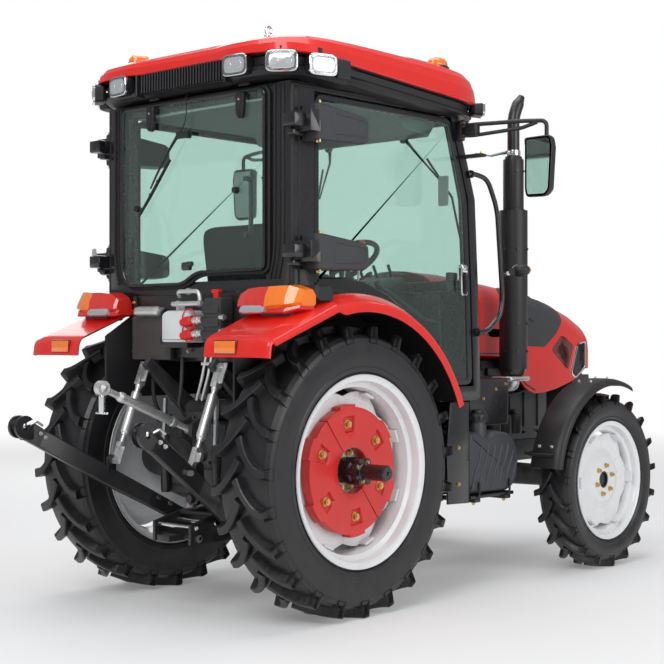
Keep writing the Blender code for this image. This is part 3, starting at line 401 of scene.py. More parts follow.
def disc(bm, centre, direction, radius, depth, sides=24, second=None):
    turn = Vector((0, 0, 1)).rotation_difference(Vector(direction)).to_matrix().to_4x4()
    bmesh.ops.create_cone(bm, cap_ends=True, segments=sides, radius1=radius, radius2=radius if second is None else second,
                          depth=depth, matrix=Matrix.Translation(Vector(centre)) @ turn)


def bolt(bm, place, direction, width=0.024, height=None):  # washer, hexagon and the end of the thread
    way = Vector(direction).normalized()
    tall = height or width * 0.5
    disc(bm, Vector(place) + way * 0.0012, way, width * 0.62, 0.0024, 14)
    disc(bm, Vector(place) + way * (0.0024 + tall / 2), way, width * 0.5, tall, 6)
    disc(bm, Vector(place) + way * (0.0024 + tall * 1.12), way, width * 0.27, tall * 0.34, 10)


def spinProfile(bm, profile, centre, steps, closed=True, sweep=360.0, start=0.0, side=1):
    # profile is (distance outwards along Y, radius) and turns about the Y axis through centre
    first = math.radians(start)
    ray = Vector((math.cos(first), 0, math.sin(first)))
    verts = [bm.verts.new(Vector(centre) + ray * radius + Vector((0, side * along, 0))) for along, radius in profile]
    pairs = list(zip(verts, verts[1:])) + ([(verts[-1], verts[0])] if closed else [])
    edges = [bm.edges.new(pair) for pair in pairs]
    full = abs(sweep) >= 360.0
    bmesh.ops.spin(bm, geom=verts + edges, cent=centre, axis=(0, -1, 0), angle=math.radians(sweep), steps=steps,
                   use_merge=full, use_duplicate=False)
    bmesh.ops.remove_doubles(bm, verts=bm.verts, dist=1e-6)


def outwards(bm):
    bmesh.ops.recalc_face_normals(bm, faces=bm.faces)


def makePiece(name, bm, material, body, replaces=(), angle=32.0, weld=False):
    if weld:
        bmesh.ops.remove_doubles(bm, verts=bm.verts, dist=1e-5)
    outwards(bm)
    mesh = bpy.data.meshes.new(name)
    bm.to_mesh(mesh)
    bm.free()
    mesh.polygons.foreach_set("use_smooth", [True] * len(mesh.polygons))
    mesh.set_sharp_from_angle(angle=math.radians(angle))
    mesh.materials.append(material)
    piece = bpy.data.objects.new(name, mesh)
    bpy.context.scene.collection.objects.link(piece)
    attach(piece, body)
    if replaces:
        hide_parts(*replaces)
    return piece


def mirrored(point, side):  # a point given for the left, placed on that side
    return Vector((point[0], point[1] * side, point[2]))


def softened(node, material, body, width=0.003, segments=2, name=None, keep=None):
    # a copy of a CAD node with welded faces and rounded edges, which stands for the node
    bm = bmesh.new()
    bm.from_mesh(nodes[node].data)
    bmesh.ops.remove_doubles(bm, verts=bm.verts, dist=2e-5)
    bmesh.ops.dissolve_limit(bm, angle_limit=math.radians(0.6), verts=bm.verts, edges=bm.edges)
    outwards(bm)
    sharp = [edge for edge in bm.edges if len(edge.link_faces) == 2 and edge.calc_face_angle() > math.radians(34)
             and edge.calc_length() > width * 3 and (keep is None or keep(edge))]
    bevelEdges(bm, sharp, width, segments)
    return makePiece(name or f"{node}_body", bm, material, body, [node], 40.0)


def superRing(centre, halfX, halfY, z, power, count=96, shape=None):
    # a plan outline between an ellipse and a rectangle
    ring = []
    for k in range(count):
        turn = math.tau * (k + 0.5) / count
        c, s = math.cos(turn), math.sin(turn)
        x = centre[0] + halfX * math.copysign(abs(c) ** (2 / power), c)
        y = centre[1] + halfY * math.copysign(abs(s) ** (2 / power), s)
        spot = Vector((x, y, z))
        ring.append(shape(spot) if shape else spot)
    return ring


# tyres, rims and wheel weights
tyreSet = {
    "rear": {"lugs": 23, "sweep": 13.0, "half": 0.150, "crown": 0.650, "lugTop": 0.032, "lugFoot": 0.054,
             "slot": 0.020, "start": 0.006, "steps": 92,
             "wall": ((0.138, 0.412), (0.139, 0.436), (0.149, 0.444), (0.1535, 0.462), (0.1505, 0.468), (0.1545, 0.500),
                      (0.1550, 0.535), (0.1520, 0.566), (0.1475, 0.572), (0.1440, 0.590), (0.128, 0.604),
                      (0.095, 0.611), (0.048, 0.614))},
    "front": {"lugs": 19, "sweep": 15.5, "half": 0.097, "crown": 0.4705, "lugTop": 0.024, "lugFoot": 0.040,
              "slot": 0.014, "start": 0.004, "steps": 76,
              "wall": ((0.074, 0.306), (0.075, 0.325), (0.084, 0.331), (0.0905, 0.343), (0.0890, 0.348), (0.0960, 0.365),
                       (0.0990, 0.385), (0.0965, 0.408), (0.0935, 0.412), (0.0900, 0.424), (0.078, 0.434),
                       (0.056, 0.439), (0.028, 0.441))},
}


def lugRings(shape, centre, turn, half):  # one tread bar, from the middle of the tread to the shoulder
    rings = []
    stations = 7
    base = shape["wall"][-1][1]
    shoulder = dict((round(along, 4), radius) for along, radius in shape["wall"])
    for k in range(stations):
        share = k / (stations - 1)
        along = shape["start"] * -1 + (shape["half"] + shape["start"]) * share
        lead = math.radians(shape["sweep"]) * math.sin(share * math.pi / 2) ** 0.85
        slope = math.cos(share * math.pi / 2) * 1.15 + 0.18
        across = Vector((1.0, -slope)).normalized()  # across the bar: round the tyre, outwards
        crown = shape["crown"] - 0.004 * share ** 3
        drop = base - 0.012 - 0.030 * share ** 4
        top = shape["lugTop"] * (1 + 0.22 * share) / 2
        foot = shape["lugFoot"] * (1 + 0.10 * share) / 2
        ring = []
        for offset, radius in ((-foot, drop), (-top - 0.0025, crown - 0.005), (-top + 0.003, crown),
                               (top - 0.003, crown), (top + 0.0025, crown - 0.005), (foot, drop)):
            angle = turn + lead + across.x * offset / crown
            out = along + across.y * offset * (1 - share)
            ring.append(centre + Vector((math.cos(angle) * radius, half * out, math.sin(angle) * radius)))
        rings.append(ring)
    return rings


def buildTyre(axle, side):
    shape = tyreSet[axle]
    sign = sides[side]
    centre = middle(f"{axle}_tyre_{side}")
    bm = bmesh.new()
    wall = shape["wall"]
    spinProfile(bm, list(wall) + [(0.0, wall[-1][1] + 0.001)] + [(-a, r) for a, r in reversed(wall)],
                centre, shape["steps"])
    pitch = math.tau / shape["lugs"]
    for half in (1, -1):
        for k in range(shape["lugs"]):
            turn = pitch * (k + (0.5 if half < 0 else 0.0))
            faces = loft(bm, lugRings(shape, centre, turn, half))
            bmesh.ops.inset_region(bm, faces=[faces[-1]], thickness=shape["slot"] * 0.45, depth=0.0)
            bmesh.ops.translate(bm, verts=faces[-1].verts, vec=Vector((0, -half * shape["slot"], 0)))
    outwards(bm)
    return makePiece(f"{axle}_tread_{side}", bm, tyreRubber, f"{axle}_wheel_{side}", [f"{axle}_tyre_{side}"], 28.0)


rimSet = {
    "rear": {"lobes": 8, "discOut": 0.368, "discIn": 0.330, "discAt": 0.0227, "steps": 96, "phase": 22.5,
             "barrel": ((0.1500, 0.4300), (0.1440, 0.4310), (0.1400, 0.4240), (0.1385, 0.4080), (0.1250, 0.4030),
                        (0.1020, 0.4010), (0.0930, 0.3800), (0.0600, 0.3740), (-0.020, 0.3740), (-0.060, 0.3960),
                        (-0.1250, 0.4030), (-0.1385, 0.4080), (-0.1400, 0.4240), (-0.1440, 0.4310), (-0.1500, 0.4300)),
             "dish": ((0.0, 0.055), (0.0, 0.110), (0.0, 0.200), (0.004, 0.260), (0.010, 0.300), (0.006, 0.340),
                      (0.000, 0.368))},
    "front": {"lobes": 6, "discOut": 0.268, "discIn": 0.236, "discAt": 0.024, "steps": 84, "phase": 0.0,
              "barrel": ((0.0850, 0.3200), (0.0795, 0.3205), (0.0770, 0.3150), (0.0755, 0.3030), (0.0660, 0.2990),
                         (0.0500, 0.2970), (0.0430, 0.2780), (0.0250, 0.2720), (-0.030, 0.2720), (-0.045, 0.2940),
                         (-0.0660, 0.2990), (-0.0755, 0.3030), (-0.0770, 0.3150), (-0.0795, 0.3205), (-0.0850, 0.3200)),
              "dish": ((0.022, 0.046), (0.022, 0.105), (0.018, 0.128), (0.004, 0.150), (0.000, 0.180), (0.006, 0.215),
                       (0.004, 0.245), (0.000, 0.268))},
}


def buildRim(axle, side):
    shape, sign = rimSet[axle], sides[side]
    centre = middle(f"{axle}_rim_{side}")
    bm = bmesh.new()
    wall = 0.006
    inner = [(along, radius - wall) for along, radius in shape["barrel"][1:-1]]
    spinProfile(bm, list(shape["barrel"]) + inner[::-1], centre, shape["steps"], side=sign)
    barrel = set(bm.verts)
    dish = [(shape["discAt"] + along, radius) for along, radius in shape["dish"]]
    back = [(along - 0.009, radius) for along, radius in reversed(dish)]
    spinProfile(bm, dish + back, centre, shape["steps"], side=sign)
    for vert in bm.verts:  # the edge of the disc goes in and out, so that it meets the rim at its lobes only
        if vert in barrel:
            continue
        out = vert.co - centre
        radius = math.hypot(out.x, out.z)
        if radius > shape["discIn"] * 0.88:
            turn = math.degrees(math.atan2(out.z, out.x)) + shape["phase"]
            wave = (1 + math.cos(math.radians(turn * shape["lobes"]))) / 2
            share = (radius - shape["discIn"] * 0.88) / (shape["discOut"] - shape["discIn"] * 0.88)
            target = radius - share * (shape["discOut"] - shape["discIn"]) * (1 - wave ** 0.6)
            vert.co.x, vert.co.z = centre.x + out.x * target / radius, centre.z + out.z * target / radius
    for k in range(shape["lobes"]):  # brackets welded between the disc and the barrel
        turn = math.tau * k / shape["lobes"] - math.radians(shape["phase"])
        ray = Vector((math.cos(turn), 0, math.sin(turn)))
        place = centre + ray * (shape["discOut"] - 0.012) + Vector((0, sign * (shape["discAt"] + 0.022), 0))
        box(bm, place - Vector((0.006, 0.024, 0.030)), place + Vector((0.006, 0.024, 0.030)), 0.003, 1,
            Matrix.Rotation(-turn, 3, "Y"))
    makePiece(f"{axle}_wheel_disc_{side}", bm, rimWhite, f"{axle}_wheel_{side}", [f"{axle}_rim_{side}"], 30.0)


weightSet = {"face": 0.035, "thick": 0.050, "joint": 127.0, "bolts": (30.0, 90.0, 150.0), "hubBolts": 8,
             "rings": (0.102, 0.140, 0.172, 0.246, 0.270, 0.284)}


def buildWeight(side):
    sign = sides[side]
    centre = middle(f"rear_rim_{side}")
    back, front = weightSet["face"], weightSet["face"] + weightSet["thick"]
    bm = bmesh.new()
    ring = [(front, r) for r in weightSet["rings"]] + [(back, r) for r in reversed(weightSet["rings"])]
    for half in (0, 1):
        start = weightSet["joint"] + 0.6 + 180 * half
        before = set(bm.faces)
        spinProfile(bm, ring, centre, 36, sweep=178.8, start=start, side=sign)
        bmesh.ops.holes_fill(bm, edges=[edge for edge in bm.edges if edge.is_boundary])
        fresh = [face for face in bm.faces if face not in before]
        teeth, pockets = [], []
        for face in fresh:
            spot = face.calc_center_median() - centre
            radius, turn = math.hypot(spot.x, spot.z), math.degrees(math.atan2(spot.z, spot.x))
            away = min(abs((turn - start - angle + 180) % 360 - 180) for angle in weightSet["bolts"])
            if radius > 0.281 and away < 10:
                teeth.append(face)
            if abs(abs(spot.y) - front) < 0.001 and 0.172 < radius < 0.246 and away < 10:
                pockets.append(face)
        bmesh.ops.recalc_face_normals(bm, faces=fresh)
        drawn = bmesh.ops.extrude_face_region(bm, geom=teeth)["geom"]
        for vert in (item for item in drawn if isinstance(item, bmesh.types.BMVert)):
            out = vert.co - centre
            radius = math.hypot(out.x, out.z)
            vert.co.x += out.x / radius * 0.013
            vert.co.z += out.z / radius * 0.013
        bmesh.ops.delete(bm, geom=teeth, context="FACES")
        bmesh.ops.inset_region(bm, faces=pockets, thickness=0.006, depth=-0.016)
    outwards(bm)
    sharp = [edge for edge in bm.edges if len(edge.link_faces) == 2 and edge.calc_face_angle() > 0.6]
    bevelEdges(bm, sharp, 0.0022, 2)
    makePiece(f"weight_ring_{side}", bm, redCast, f"rear_wheel_{side}", [f"wheel_weight_{side}"], 40.0)

    bm = bmesh.new()
    hub = ((back - 0.004, 0.0), (back - 0.004, 0.060), (front + 0.010, 0.062), (front + 0.022, 0.058), (front + 0.026, 0.052),
           (front + 0.030, 0.052), (front + 0.034, 0.056), (front + 0.062, 0.054), (front + 0.068, 0.044),
           (front + 0.072, 0.036), (0.281, 0.036), (0.287, 0.030), (0.287, 0.009), (0.280, 0.006), (0.280, 0.0))
    spinProfile(bm, hub, centre, 40, closed=False, side=sign)
    for k in range(6):  # clamp halves round the shaft
        turn = math.tau * k / 6
        ray = Vector((math.cos(turn), 0, math.sin(turn)))
        disc(bm, centre + ray * 0.049 + Vector((0, sign * (front + 0.045), 0)), (0, 1, 0), 0.016, 0.050, 12)
    makePiece(f"axle_hub_{side}", bm, frameBlack, f"rear_wheel_{side}")

    bm = bmesh.new()
    out = Vector((0, sign, 0))
    for half in (0, 1):
        for angle in weightSet["bolts"]:
            turn = math.radians(weightSet["joint"] + 180 * half + angle)
            ray = Vector((math.cos(turn), 0, math.sin(turn)))
            bolt(bm, centre + ray * 0.209 + out * (front - 0.016), out, 0.032)
    for k in range(weightSet["hubBolts"]):
        turn = math.tau * (k + 0.5) / weightSet["hubBolts"]
        ray = Vector((math.cos(turn), 0, math.sin(turn)))
        bolt(bm, centre + ray * 0.082 + out * (back - 0.004), out, 0.024, 0.016)
        if k % 2:
            bolt(bm, centre + ray * 0.044 + out * (front + 0.068), out, 0.014)
    makePiece(f"weight_bolts_{side}", bm, goldPlate, f"rear_wheel_{side}")


def buildFrontHub(side):
    sign = sides[side]
    centre = middle(f"front_rim_{side}")
    face = rimSet["front"]["discAt"] + rimSet["front"]["dish"][0][0]
    bm = bmesh.new()
    out = Vector((0, sign, 0))
    for k in range(6):
        turn = math.tau * k / 6 + 0.3
        bolt(bm, centre + Vector((math.cos(turn), 0, math.sin(turn))) * 0.078 + out * face, out, 0.022, 0.015)
    makePiece(f"front_nuts_{side}", bm, goldPlate, f"front_wheel_{side}")
    bm = bmesh.new()
    spinProfile(bm, ((face - 0.060, 0.0), (face - 0.060, 0.045), (face - 0.004, 0.0455), (face - 0.004, 0.039),
                     (face - 0.022, 0.036), (face - 0.022, 0.0)), centre, 32, closed=False, side=sign)
    makePiece(f"front_hub_{side}", bm, frameBlack, f"front_wheel_{side}")


for side in sides:
    for axle in ("rear", "front"):
        buildTyre(axle, side)
        buildRim(axle, side)
    buildWeight(side)
    buildFrontHub(side)
print("wheels built")


# roof
roofSet = {"rear": -0.396, "front": 1.050, "half": 0.722, "power": 7.0, "top": 2.585, "rearEdge": 2.480,
           "frontEdge": 2.392, "mouldDrop": 0.092, "podFrom": 0.300, "podBack": 0.026}


def roofEdge(x):  # height of the lower edge of the red shell, which falls towards the front
    share = min(max((x + 0.36) / 1.30, 0.0), 1.0)
    return roofSet["rearEdge"] + (roofSet["frontEdge"] - roofSet["rearEdge"]) * (share ** 0.85)


def buildRoof():
    centreX = (roofSet["rear"] + roofSet["front"]) / 2
    halfX = (roofSet["front"] - roofSet["rear"]) / 2
    centre = at(centreX, 0, 0)

    def podPush(spot, amount):  # the rear corners stand out from the middle of the rear edge
        x, side = spot.x - rearAxle.x, abs(spot.y)
        if x < 0.0 and side > roofSet["podFrom"] - 0.02:
            share = min((side - roofSet["podFrom"] + 0.02) / 0.03, 1.0)
            spot.x -= roofSet["podBack"] * share * amount * min(1.0, -x / 0.15)
        return spot

    bm = bmesh.new()
    rings = []
    # inset from the outline, share of the way from the lower edge to the top
    for inset, share, push in ((0.020, -0.02, 1.0), (0.004, -0.02, 1.0), (0.0, 0.02, 1.0), (0.002, 0.38, 1.0),
                               (0.012, 0.60, 0.9), (0.034, 0.78, 0.6), (0.075, 0.90, 0.2), (0.150, 0.96, 0.0),
                               (0.300, 0.992, 0.0), (0.520, 1.0, 0.0)):
        def lift(spot, share=share, push=push):
            spot = podPush(spot, push)
            low = roofEdge(spot.x - rearAxle.x)
            rise = 0.0 if share < 0.5 else 0.010 * math.cos((spot.x - rearAxle.x - 0.3) * 1.9)
            spot.z = low + (roofSet["top"] - 0.012 - low) * share + rise
            return spot
        rings.append(superRing(centre, halfX - inset, roofSet["half"] - inset, 0, roofSet["power"] - share * 1.5,
                               128, lift))
    loft(bm, rings)
    # two long ribs pressed into the top, and a step round it
    for y in (-0.33, 0.33):
        slab(bm, [(at(x, 0, 0).x, z) for x, z in ((-0.20, 2.572), (-0.14, 2.588), (0.76, 2.591), (0.84, 2.572))],
             "Y", y - 0.045, y + 0.045, 0.006)
    makePiece("roof_shell", bm, redPaint, "chassis", ["roof"], 30.0)

    bm = bmesh.new()  # black moulding under the shell, with its drip groove
    rings = []
    for inset, drop in ((0.060, -0.030), (0.020, -0.016), (0.016, 0.004), (0.030, 0.012), (0.034, 0.040),
                        (0.022, 0.050), (0.018, 0.066), (0.034, 0.082), (0.062, 0.092), (0.120, 0.094)):
        def drop_(spot, drop=drop, inset=inset):
            spot = podPush(spot, 0.6)
            spot.z = max(roofEdge(spot.x - rearAxle.x) - drop * (1.12 if spot.x < rearAxle.x else 1.0), 2.332)
            return spot
        rings.append(superRing(centre, halfX - inset, roofSet["half"] - inset, 0, roofSet["power"], 128, drop_))
    loft(bm, rings)
    makePiece("roof_moulding", bm, mouldedBlack, "chassis", ["roof_lining"], 30.0)

    bm = bmesh.new()  # pale ceiling and its front console, seen through the glass
    box(bm, at(-0.250, -0.560, 2.318), at(0.850, 0.560, 2.330), 0.004)
    slab(bm, [(at(x, 0, 0).x, z) for x, z in ((0.56, 2.318), (0.60, 2.262), (0.80, 2.240), (0.862, 2.318))],
         "Y", -0.50, 0.50, 0.010)
    makePiece("ceiling", bm, headliner, "chassis")


lampUnit = {"wide": 0.138, "tall": 0.092, "deep": 0.060}


def workLamp(shell, glass, bezel, place, facing, wide=1.0, tall=1.0):
    # a rectangular lamp with a rounded housing, a bright reflector and a clear lens with two bulbs
    look = Vector(facing).normalized()
    turn = Matrix.Rotation(math.atan2(look.y, look.x), 3, "Z")
    halfWide, halfTall, deep = lampUnit["wide"] * wide / 2, lampUnit["tall"] * tall / 2, lampUnit["deep"]

    def rounded(target, depthRings, power=5.0):
        rings = []
        for depth, shrink in depthRings:
            ring = []
            for k in range(28):
                a = math.tau * (k + 0.5) / 28
                c, s = math.cos(a), math.sin(a)
                ring.append(Vector(place) + turn @ Vector((
                    depth, (halfWide - shrink) * math.copysign(abs(c) ** (2 / power), c),
                    (halfTall - shrink) * math.copysign(abs(s) ** (2 / power), s))))
            rings.append(ring)
        loft(target, rings)
    rounded(shell, ((-deep, 0.016), (-deep + 0.014, 0.004), (-0.010, 0.001), (0.001, 0.001), (0.001, 0.006)))
    rounded(bezel, ((-0.006, -0.001), (0.003, -0.001), (0.006, 0.002), (0.006, 0.008), (-0.004, 0.012)))
    rounded(glass, ((-0.002, 0.009), (0.0045, 0.009), (0.0075, 0.016), (0.0085, 0.030)), 4.0)
    for shift in (-0.42, 0.42):
        disc(glass, Vector(place) + turn @ Vector((0.0070, halfWide * shift, 0.0)), look, halfTall * 0.46, 0.006, 18,
             halfTall * 0.30)


def buildRoofFittings():
    shell, glass, bezel = bmesh.new(), bmesh.new(), bmesh.new()
    recess = bmesh.new()
    for sign in (-1, 1):
        for spot, facing in (((-0.437, 0.398, 2.434), (-1.0, 0.10, -0.0)), ((-0.392, 0.640, 2.428), (-0.80, 0.62, 0)),
                             ((-0.235, 0.738, 2.420), (-0.30, 0.95, 0))):
            workLamp(shell, glass, bezel, at(spot[0], spot[1] * sign, spot[2]), (facing[0], facing[1] * sign, 0))
        workLamp(shell, glass, bezel, at(0.985, 0.690 * sign, 2.372), (0.72, 0.69 * sign, 0), 0.95, 0.72)
        workLamp(shell, glass, bezel, at(1.086, 0.470 * sign, 2.366), (1.0, 0.0, 0), 1.0, 0.72)
        for x, y in ((-0.405, 0.398), (-0.368, 0.610), (-0.222, 0.700)):  # brackets above the lamps
            box(shell, at(x - 0.010, y * sign - 0.014, 2.470), at(x + 0.010, y * sign + 0.014, 2.500), 0.003, 1)
        box(recess, at(-0.412, 0.300 * sign - 0.006, 2.378), at(-0.330, 0.300 * sign + 0.006, 2.484), 0.004, 1)
        box(recess, at(-0.150, sign * 0.735 - 0.012, 2.376), at(-0.060, sign * 0.735 + 0.006, 2.462), 0.006, 1)
    makePiece("lamp_shells", shell, mouldedBlack, "chassis")
    makePiece("lamp_bezels", bezel, brightChrome, "chassis")
    makePiece("lamp_glass", glass, clearLens, "chassis", angle=24.0)
    for k in range(30):  # corrugated air intake between the lamps
        y = -0.275 + 0.55 * k / 29
        box(recess, at(-0.399, y - 0.0045, 2.392), at(-0.372, y + 0.0045, 2.484), 0.002, 1)
    box(recess, at(-0.380, -0.285, 2.386), at(-0.360, 0.285, 2.486))
    makePiece("roof_intake", recess, mouldedBlack, "chassis")

    bm = bmesh.new()  # lifting eyes
    for x, y in ((-0.215, -0.385), (0.770, 0.385)):
        foot = at(x, y, 2.588)
        disc(bm, foot + Vector((0, 0, 0.004)), (0, 0, 1), 0.022, 0.012, 24)
        loop = [foot + Vector((math.cos(a) * 0.017, 0.0, 0.034 + math.sin(a) * 0.017))
                for a in (math.tau * k / 22 for k in range(23))]
        pipe(bm, loop, 0.0065, 10)
        pipe(bm, [foot, foot + Vector((0, 0, 0.018))], 0.008, 10)
    makePiece("lifting_eyes", bm, brightChrome, "chassis", weld=True)

    amber, base = bmesh.new(), bmesh.new()
    for x, y, z in ((-0.215, 0.500, 2.576), (0.790, -0.560, 2.570)):  # low amber beacons
        spinRings = [(0.046, 0.000), (0.046, 0.012), (0.043, 0.026), (0.034, 0.038), (0.018, 0.044), (0.004, 0.045)]
        loft(amber, [[at(x, y, z + 0.008 + up) + Vector((math.cos(a) * r * 1.35, math.sin(a) * r, 0))
                      for a in (math.tau * k / 32 for k in range(32))] for r, up in spinRings])
        loft(base, [[at(x, y, z + up) + Vector((math.cos(a) * r * 1.35, math.sin(a) * r, 0))
                     for a in (math.tau * k / 32 for k in range(32))]
                    for r, up in ((0.053, -0.006), (0.053, 0.006), (0.049, 0.011))])
    makePiece("beacons", amber, amberLens, "chassis")
    makePiece("beacon_feet", base, mouldedBlack, "chassis")


buildRoof()
buildRoofFittings()
print("roof built")


# cab
def roundCorners(outline, radius, steps=5):  # a closed flat outline with its corners rounded
    spots = [Vector(point) for point in outline]
    path = []
    for i, corner in enumerate(spots):
        before, after = spots[i - 1], spots[(i + 1) % len(spots)]
        back, ahead = before - corner, after - corner
        if back.angle(ahead) > math.radians(165):
            path.append(corner)
            continue
        reach = min(radius, back.length * 0.45, ahead.length * 0.45)
        first, last = corner + back.normalized() * reach, corner + ahead.normalized() * reach
        for k in range(steps + 1):
            share = k / steps
            path.append(first.lerp(corner, share).lerp(corner.lerp(last, share), share))
    return path


def insetOutline(path, amount):  # moves a closed flat outline inwards
    area = sum(a.x * b.y - b.x * a.y for a, b in zip(path, path[1:] + path[:1]))
    sign = 1 if area > 0 else -1
    moved = []
    for i, spot in enumerate(path):
        first = (spot - path[i - 1]).normalized()
        second = (path[(i + 1) % len(path)] - spot).normalized()
        normal = (Vector((-first.y, first.x)) + Vector((-second.y, second.x))).normalized() * sign
        square = max(normal.dot(Vector((-first.y, first.x)) * sign), 0.5)
        moved.append(spot + normal * amount / square)
    return moved


def border(bm, path, section, lift):  # carries a section of (inset, depth) round a closed outline
    columns = [insetOutline(path, inset) if inset else path for inset, _ in section]
    rings = [[lift(column[i], depth) for column, (_, depth) in zip(columns, section)] for i in range(len(path))]
    faces = loft(bm, rings + [rings[0]])
    bmesh.ops.delete(bm, geom=[faces[0], faces[-1]], context="FACES_ONLY")
    bmesh.ops.remove_doubles(bm, verts=bm.verts, dist=1e-6)


def panel(bm, path, lift, near, far):  # a closed outline given a thickness
    loft(bm, [[lift(point, near) for point in path], [lift(point, far) for point in path]])


def onSide(side):  # depth outwards on one side, outline in x from the rear axle and z
    return lambda point, depth: Vector((rearAxle.x + point[0], sides[side] * depth, point[1]))


def onRear(point, depth):  # outline in y and z, depth forwards
    return Vector((rearAxle.x + depth, point[0], point[1]))


doorSet = {"rear": -0.159, "top": 2.324, "arc": 0.834, "bottom": 1.006, "shift": 0.060, "frame": 0.030,
           "front": ((1.066, 1.006), (1.045, 1.510), (1.020, 1.935), (0.884, 2.324))}


def doorOutline():
    corners = [Vector((x - doorSet["shift"], z)) for x, z in doorSet["front"]]
    corners += [Vector((doorSet["rear"], doorSet["top"]))]
    low = math.asin((doorSet["bottom"] - rearAxle.z) / doorSet["arc"])
    high = math.acos(doorSet["rear"] / doorSet["arc"])
    arcPoints = [Vector((doorSet["arc"] * math.cos(a), rearAxle.z + doorSet["arc"] * math.sin(a)))
                 for a in (high + (low - high) * k / 22 for k in range(23))]
    return roundCorners([*corners, arcPoints[0], *arcPoints[1:-1:3], arcPoints[-1]], 0.055, 6)


hingeSet = {"axis": (-0.235, 0.715), "heights": (2.180, 1.615)}


def buildDoor(side):
    lift, outline = onSide(side), doorOutline()
    body = f"door_leaf_{side}"
    bm = bmesh.new()
    border(bm, outline, ((0.000, 0.594), (0.000, 0.613), (0.004, 0.617), (0.026, 0.617), (0.032, 0.612),
                         (0.032, 0.604), (0.026, 0.594)), lift)
    makePiece(f"door_frame_{side}", bm, frameBlack, body, [f"door_{side}"], 30.0)
    bm = bmesh.new()
    pane = insetOutline(outline, 0.028)
    panel(bm, pane, lift, 0.6055, 0.6105)
    makePiece(f"door_pane_{side}", bm, tintedPane, body, [f"door_glass_{side}"], 60.0)

    bm, metal = bmesh.new(), bmesh.new()
    for z in hingeSet["heights"]:  # moulded hinge covers, taller at the hinge and tapering forwards
        shape = ((-0.252, z - 0.082), (-0.252, z + 0.082), (-0.200, z + 0.080), (0.060, z + 0.052),
                 (0.088, z + 0.036), (0.092, z - 0.052), (0.070, z - 0.072), (-0.180, z - 0.082))
        path = roundCorners(shape, 0.016, 3)
        rings = [[lift(point, depth) for point in insetOutline(path, inset)]
                 for depth, inset in ((0.622, 0.006), (0.660, 0.002), (0.706, 0.000), (0.720, 0.004), (0.726, 0.012))]
        loft(bm, rings)
        # shallow panel pressed into the outer face
        press = roundCorners(((-0.150, z + 0.048), (0.062, z + 0.032), (0.064, z - 0.044), (-0.150, z - 0.050)), 0.012, 3)
        border(bm, [Vector(p) for p in press], ((0.000, 0.7255), (0.002, 0.7285), (0.005, 0.7285), (0.007, 0.7255)), lift)
        for end in (-0.066, 0.066):
            disc(metal, lift((-0.232, z + end * 1.28), hingeSet["axis"][1]), (0, 0, 1), 0.006, 0.012, 12)
    makePiece(f"hinge_covers_{side}", bm, coverGrey, body, angle=28.0)
    bm = bmesh.new()
    for z in hingeSet["heights"]:  # hinge arms that stay on the pillar
        low, high = lift((-0.372, z - 0.030), 0.622), lift((-0.262, z + 0.030), 0.700)
        box(bm, low, high, 0.008, 2)
        low, high = lift((-0.340, z - 0.062), 0.621), lift((-0.262, z - 0.036), 0.660)
        box(bm, low, high, 0.006, 2)
    makePiece(f"hinge_arms_{side}", bm, frameBlack, "chassis")
    for z in hingeSet["heights"]:
        bolt(metal, lift((-0.236, z - 0.0835), hingeSet["axis"][1] - 0.010), (0, 0, -1), 0.012)
    makePiece(f"hinge_pins_{side}", metal, goldPlate, body)

    chrome, grip = bmesh.new(), bmesh.new()  # outer handle in its bright bezel
    rim = roundCorners(((0.902, 1.450), (0.952, 1.450), (0.946, 1.606), (0.896, 1.606)), 0.016, 4)
    border(chrome, rim, ((0.000, 0.612), (0.000, 0.626), (0.003, 0.630), (0.009, 0.630), (0.011, 0.622), (0.011, 0.612)),
           lift)
    box(chrome, lift((0.903, 1.566), 0.616), lift((0.944, 1.600), 0.634), 0.004, 2)
    pipe(grip, [lift(p, d) for p, d in (((0.924, 1.464), 0.622), ((0.924, 1.476), 0.636), ((0.922, 1.520), 0.642),
                                        ((0.920, 1.556), 0.638))], 0.012, 10)
    panel(grip, insetOutline(rim, 0.010), lift, 0.611, 0.616)
    disc(chrome, lift((0.924, 1.583), 0.636), (0, 1, 0), 0.008, 0.006, 16)
    makePiece(f"handle_bezel_{side}", chrome, brightChrome, body)
    makePiece(f"handle_grip_{side}", grip, mouldedBlack, body)
    bm = bmesh.new()  # latch and pull rail inside the door
    box(bm, lift((0.828, 1.520), 0.578), lift((0.900, 1.566), 0.604), 0.008, 2)
    disc(bm, lift((0.842, 1.500), 0.580), (0, 1, 0), 0.030, 0.026, 20)
    pipe(bm, bend([lift(p, d) for p, d in (((0.30, 1.500), 0.590), ((0.32, 1.500), 0.556), ((0.70, 1.330), 0.552),
                                           ((0.74, 1.316), 0.590))], 0.03), 0.011, 10)
    makePiece(f"door_latch_{side}", bm, mouldedBlack, body)
    bm = bmesh.new()  # rubber seal that stays on the cab, just inside the door's edge
    border(bm, insetOutline(outline, -0.002), ((0.000, 0.576), (0.000, 0.588), (0.014, 0.590), (0.016, 0.576)), lift)
    makePiece(f"door_seal_{side}", bm, sealRubber, "chassis")


rearSet = {"left": 0.488, "right": -0.488, "top": 2.345, "low": 1.482, "high": 1.535, "step": (0.055, -0.045)}


def rearOutline():
    left, right, low, high = rearSet["left"], rearSet["right"], rearSet["low"], rearSet["high"]
    first, second = rearSet["step"]
    return roundCorners(((right, rearSet["top"]), (left, rearSet["top"]), (left, low + 0.060), (left - 0.050, low),
                         (first, low), (second, high), (right, high)), 0.045, 6)


leadSet = {"thick": 0.005, "points": ((0.020, 2.366, -0.330), (0.019, 2.358, -0.345), (0.014, 2.340, -0.352),
                                      (0.006, 2.310, -0.356), (0.004, 2.280, -0.358), (0.008, 2.250, -0.359),
                                      (0.018, 2.222, -0.360), (0.032, 2.204, -0.361), (0.044, 2.196, -0.362))}


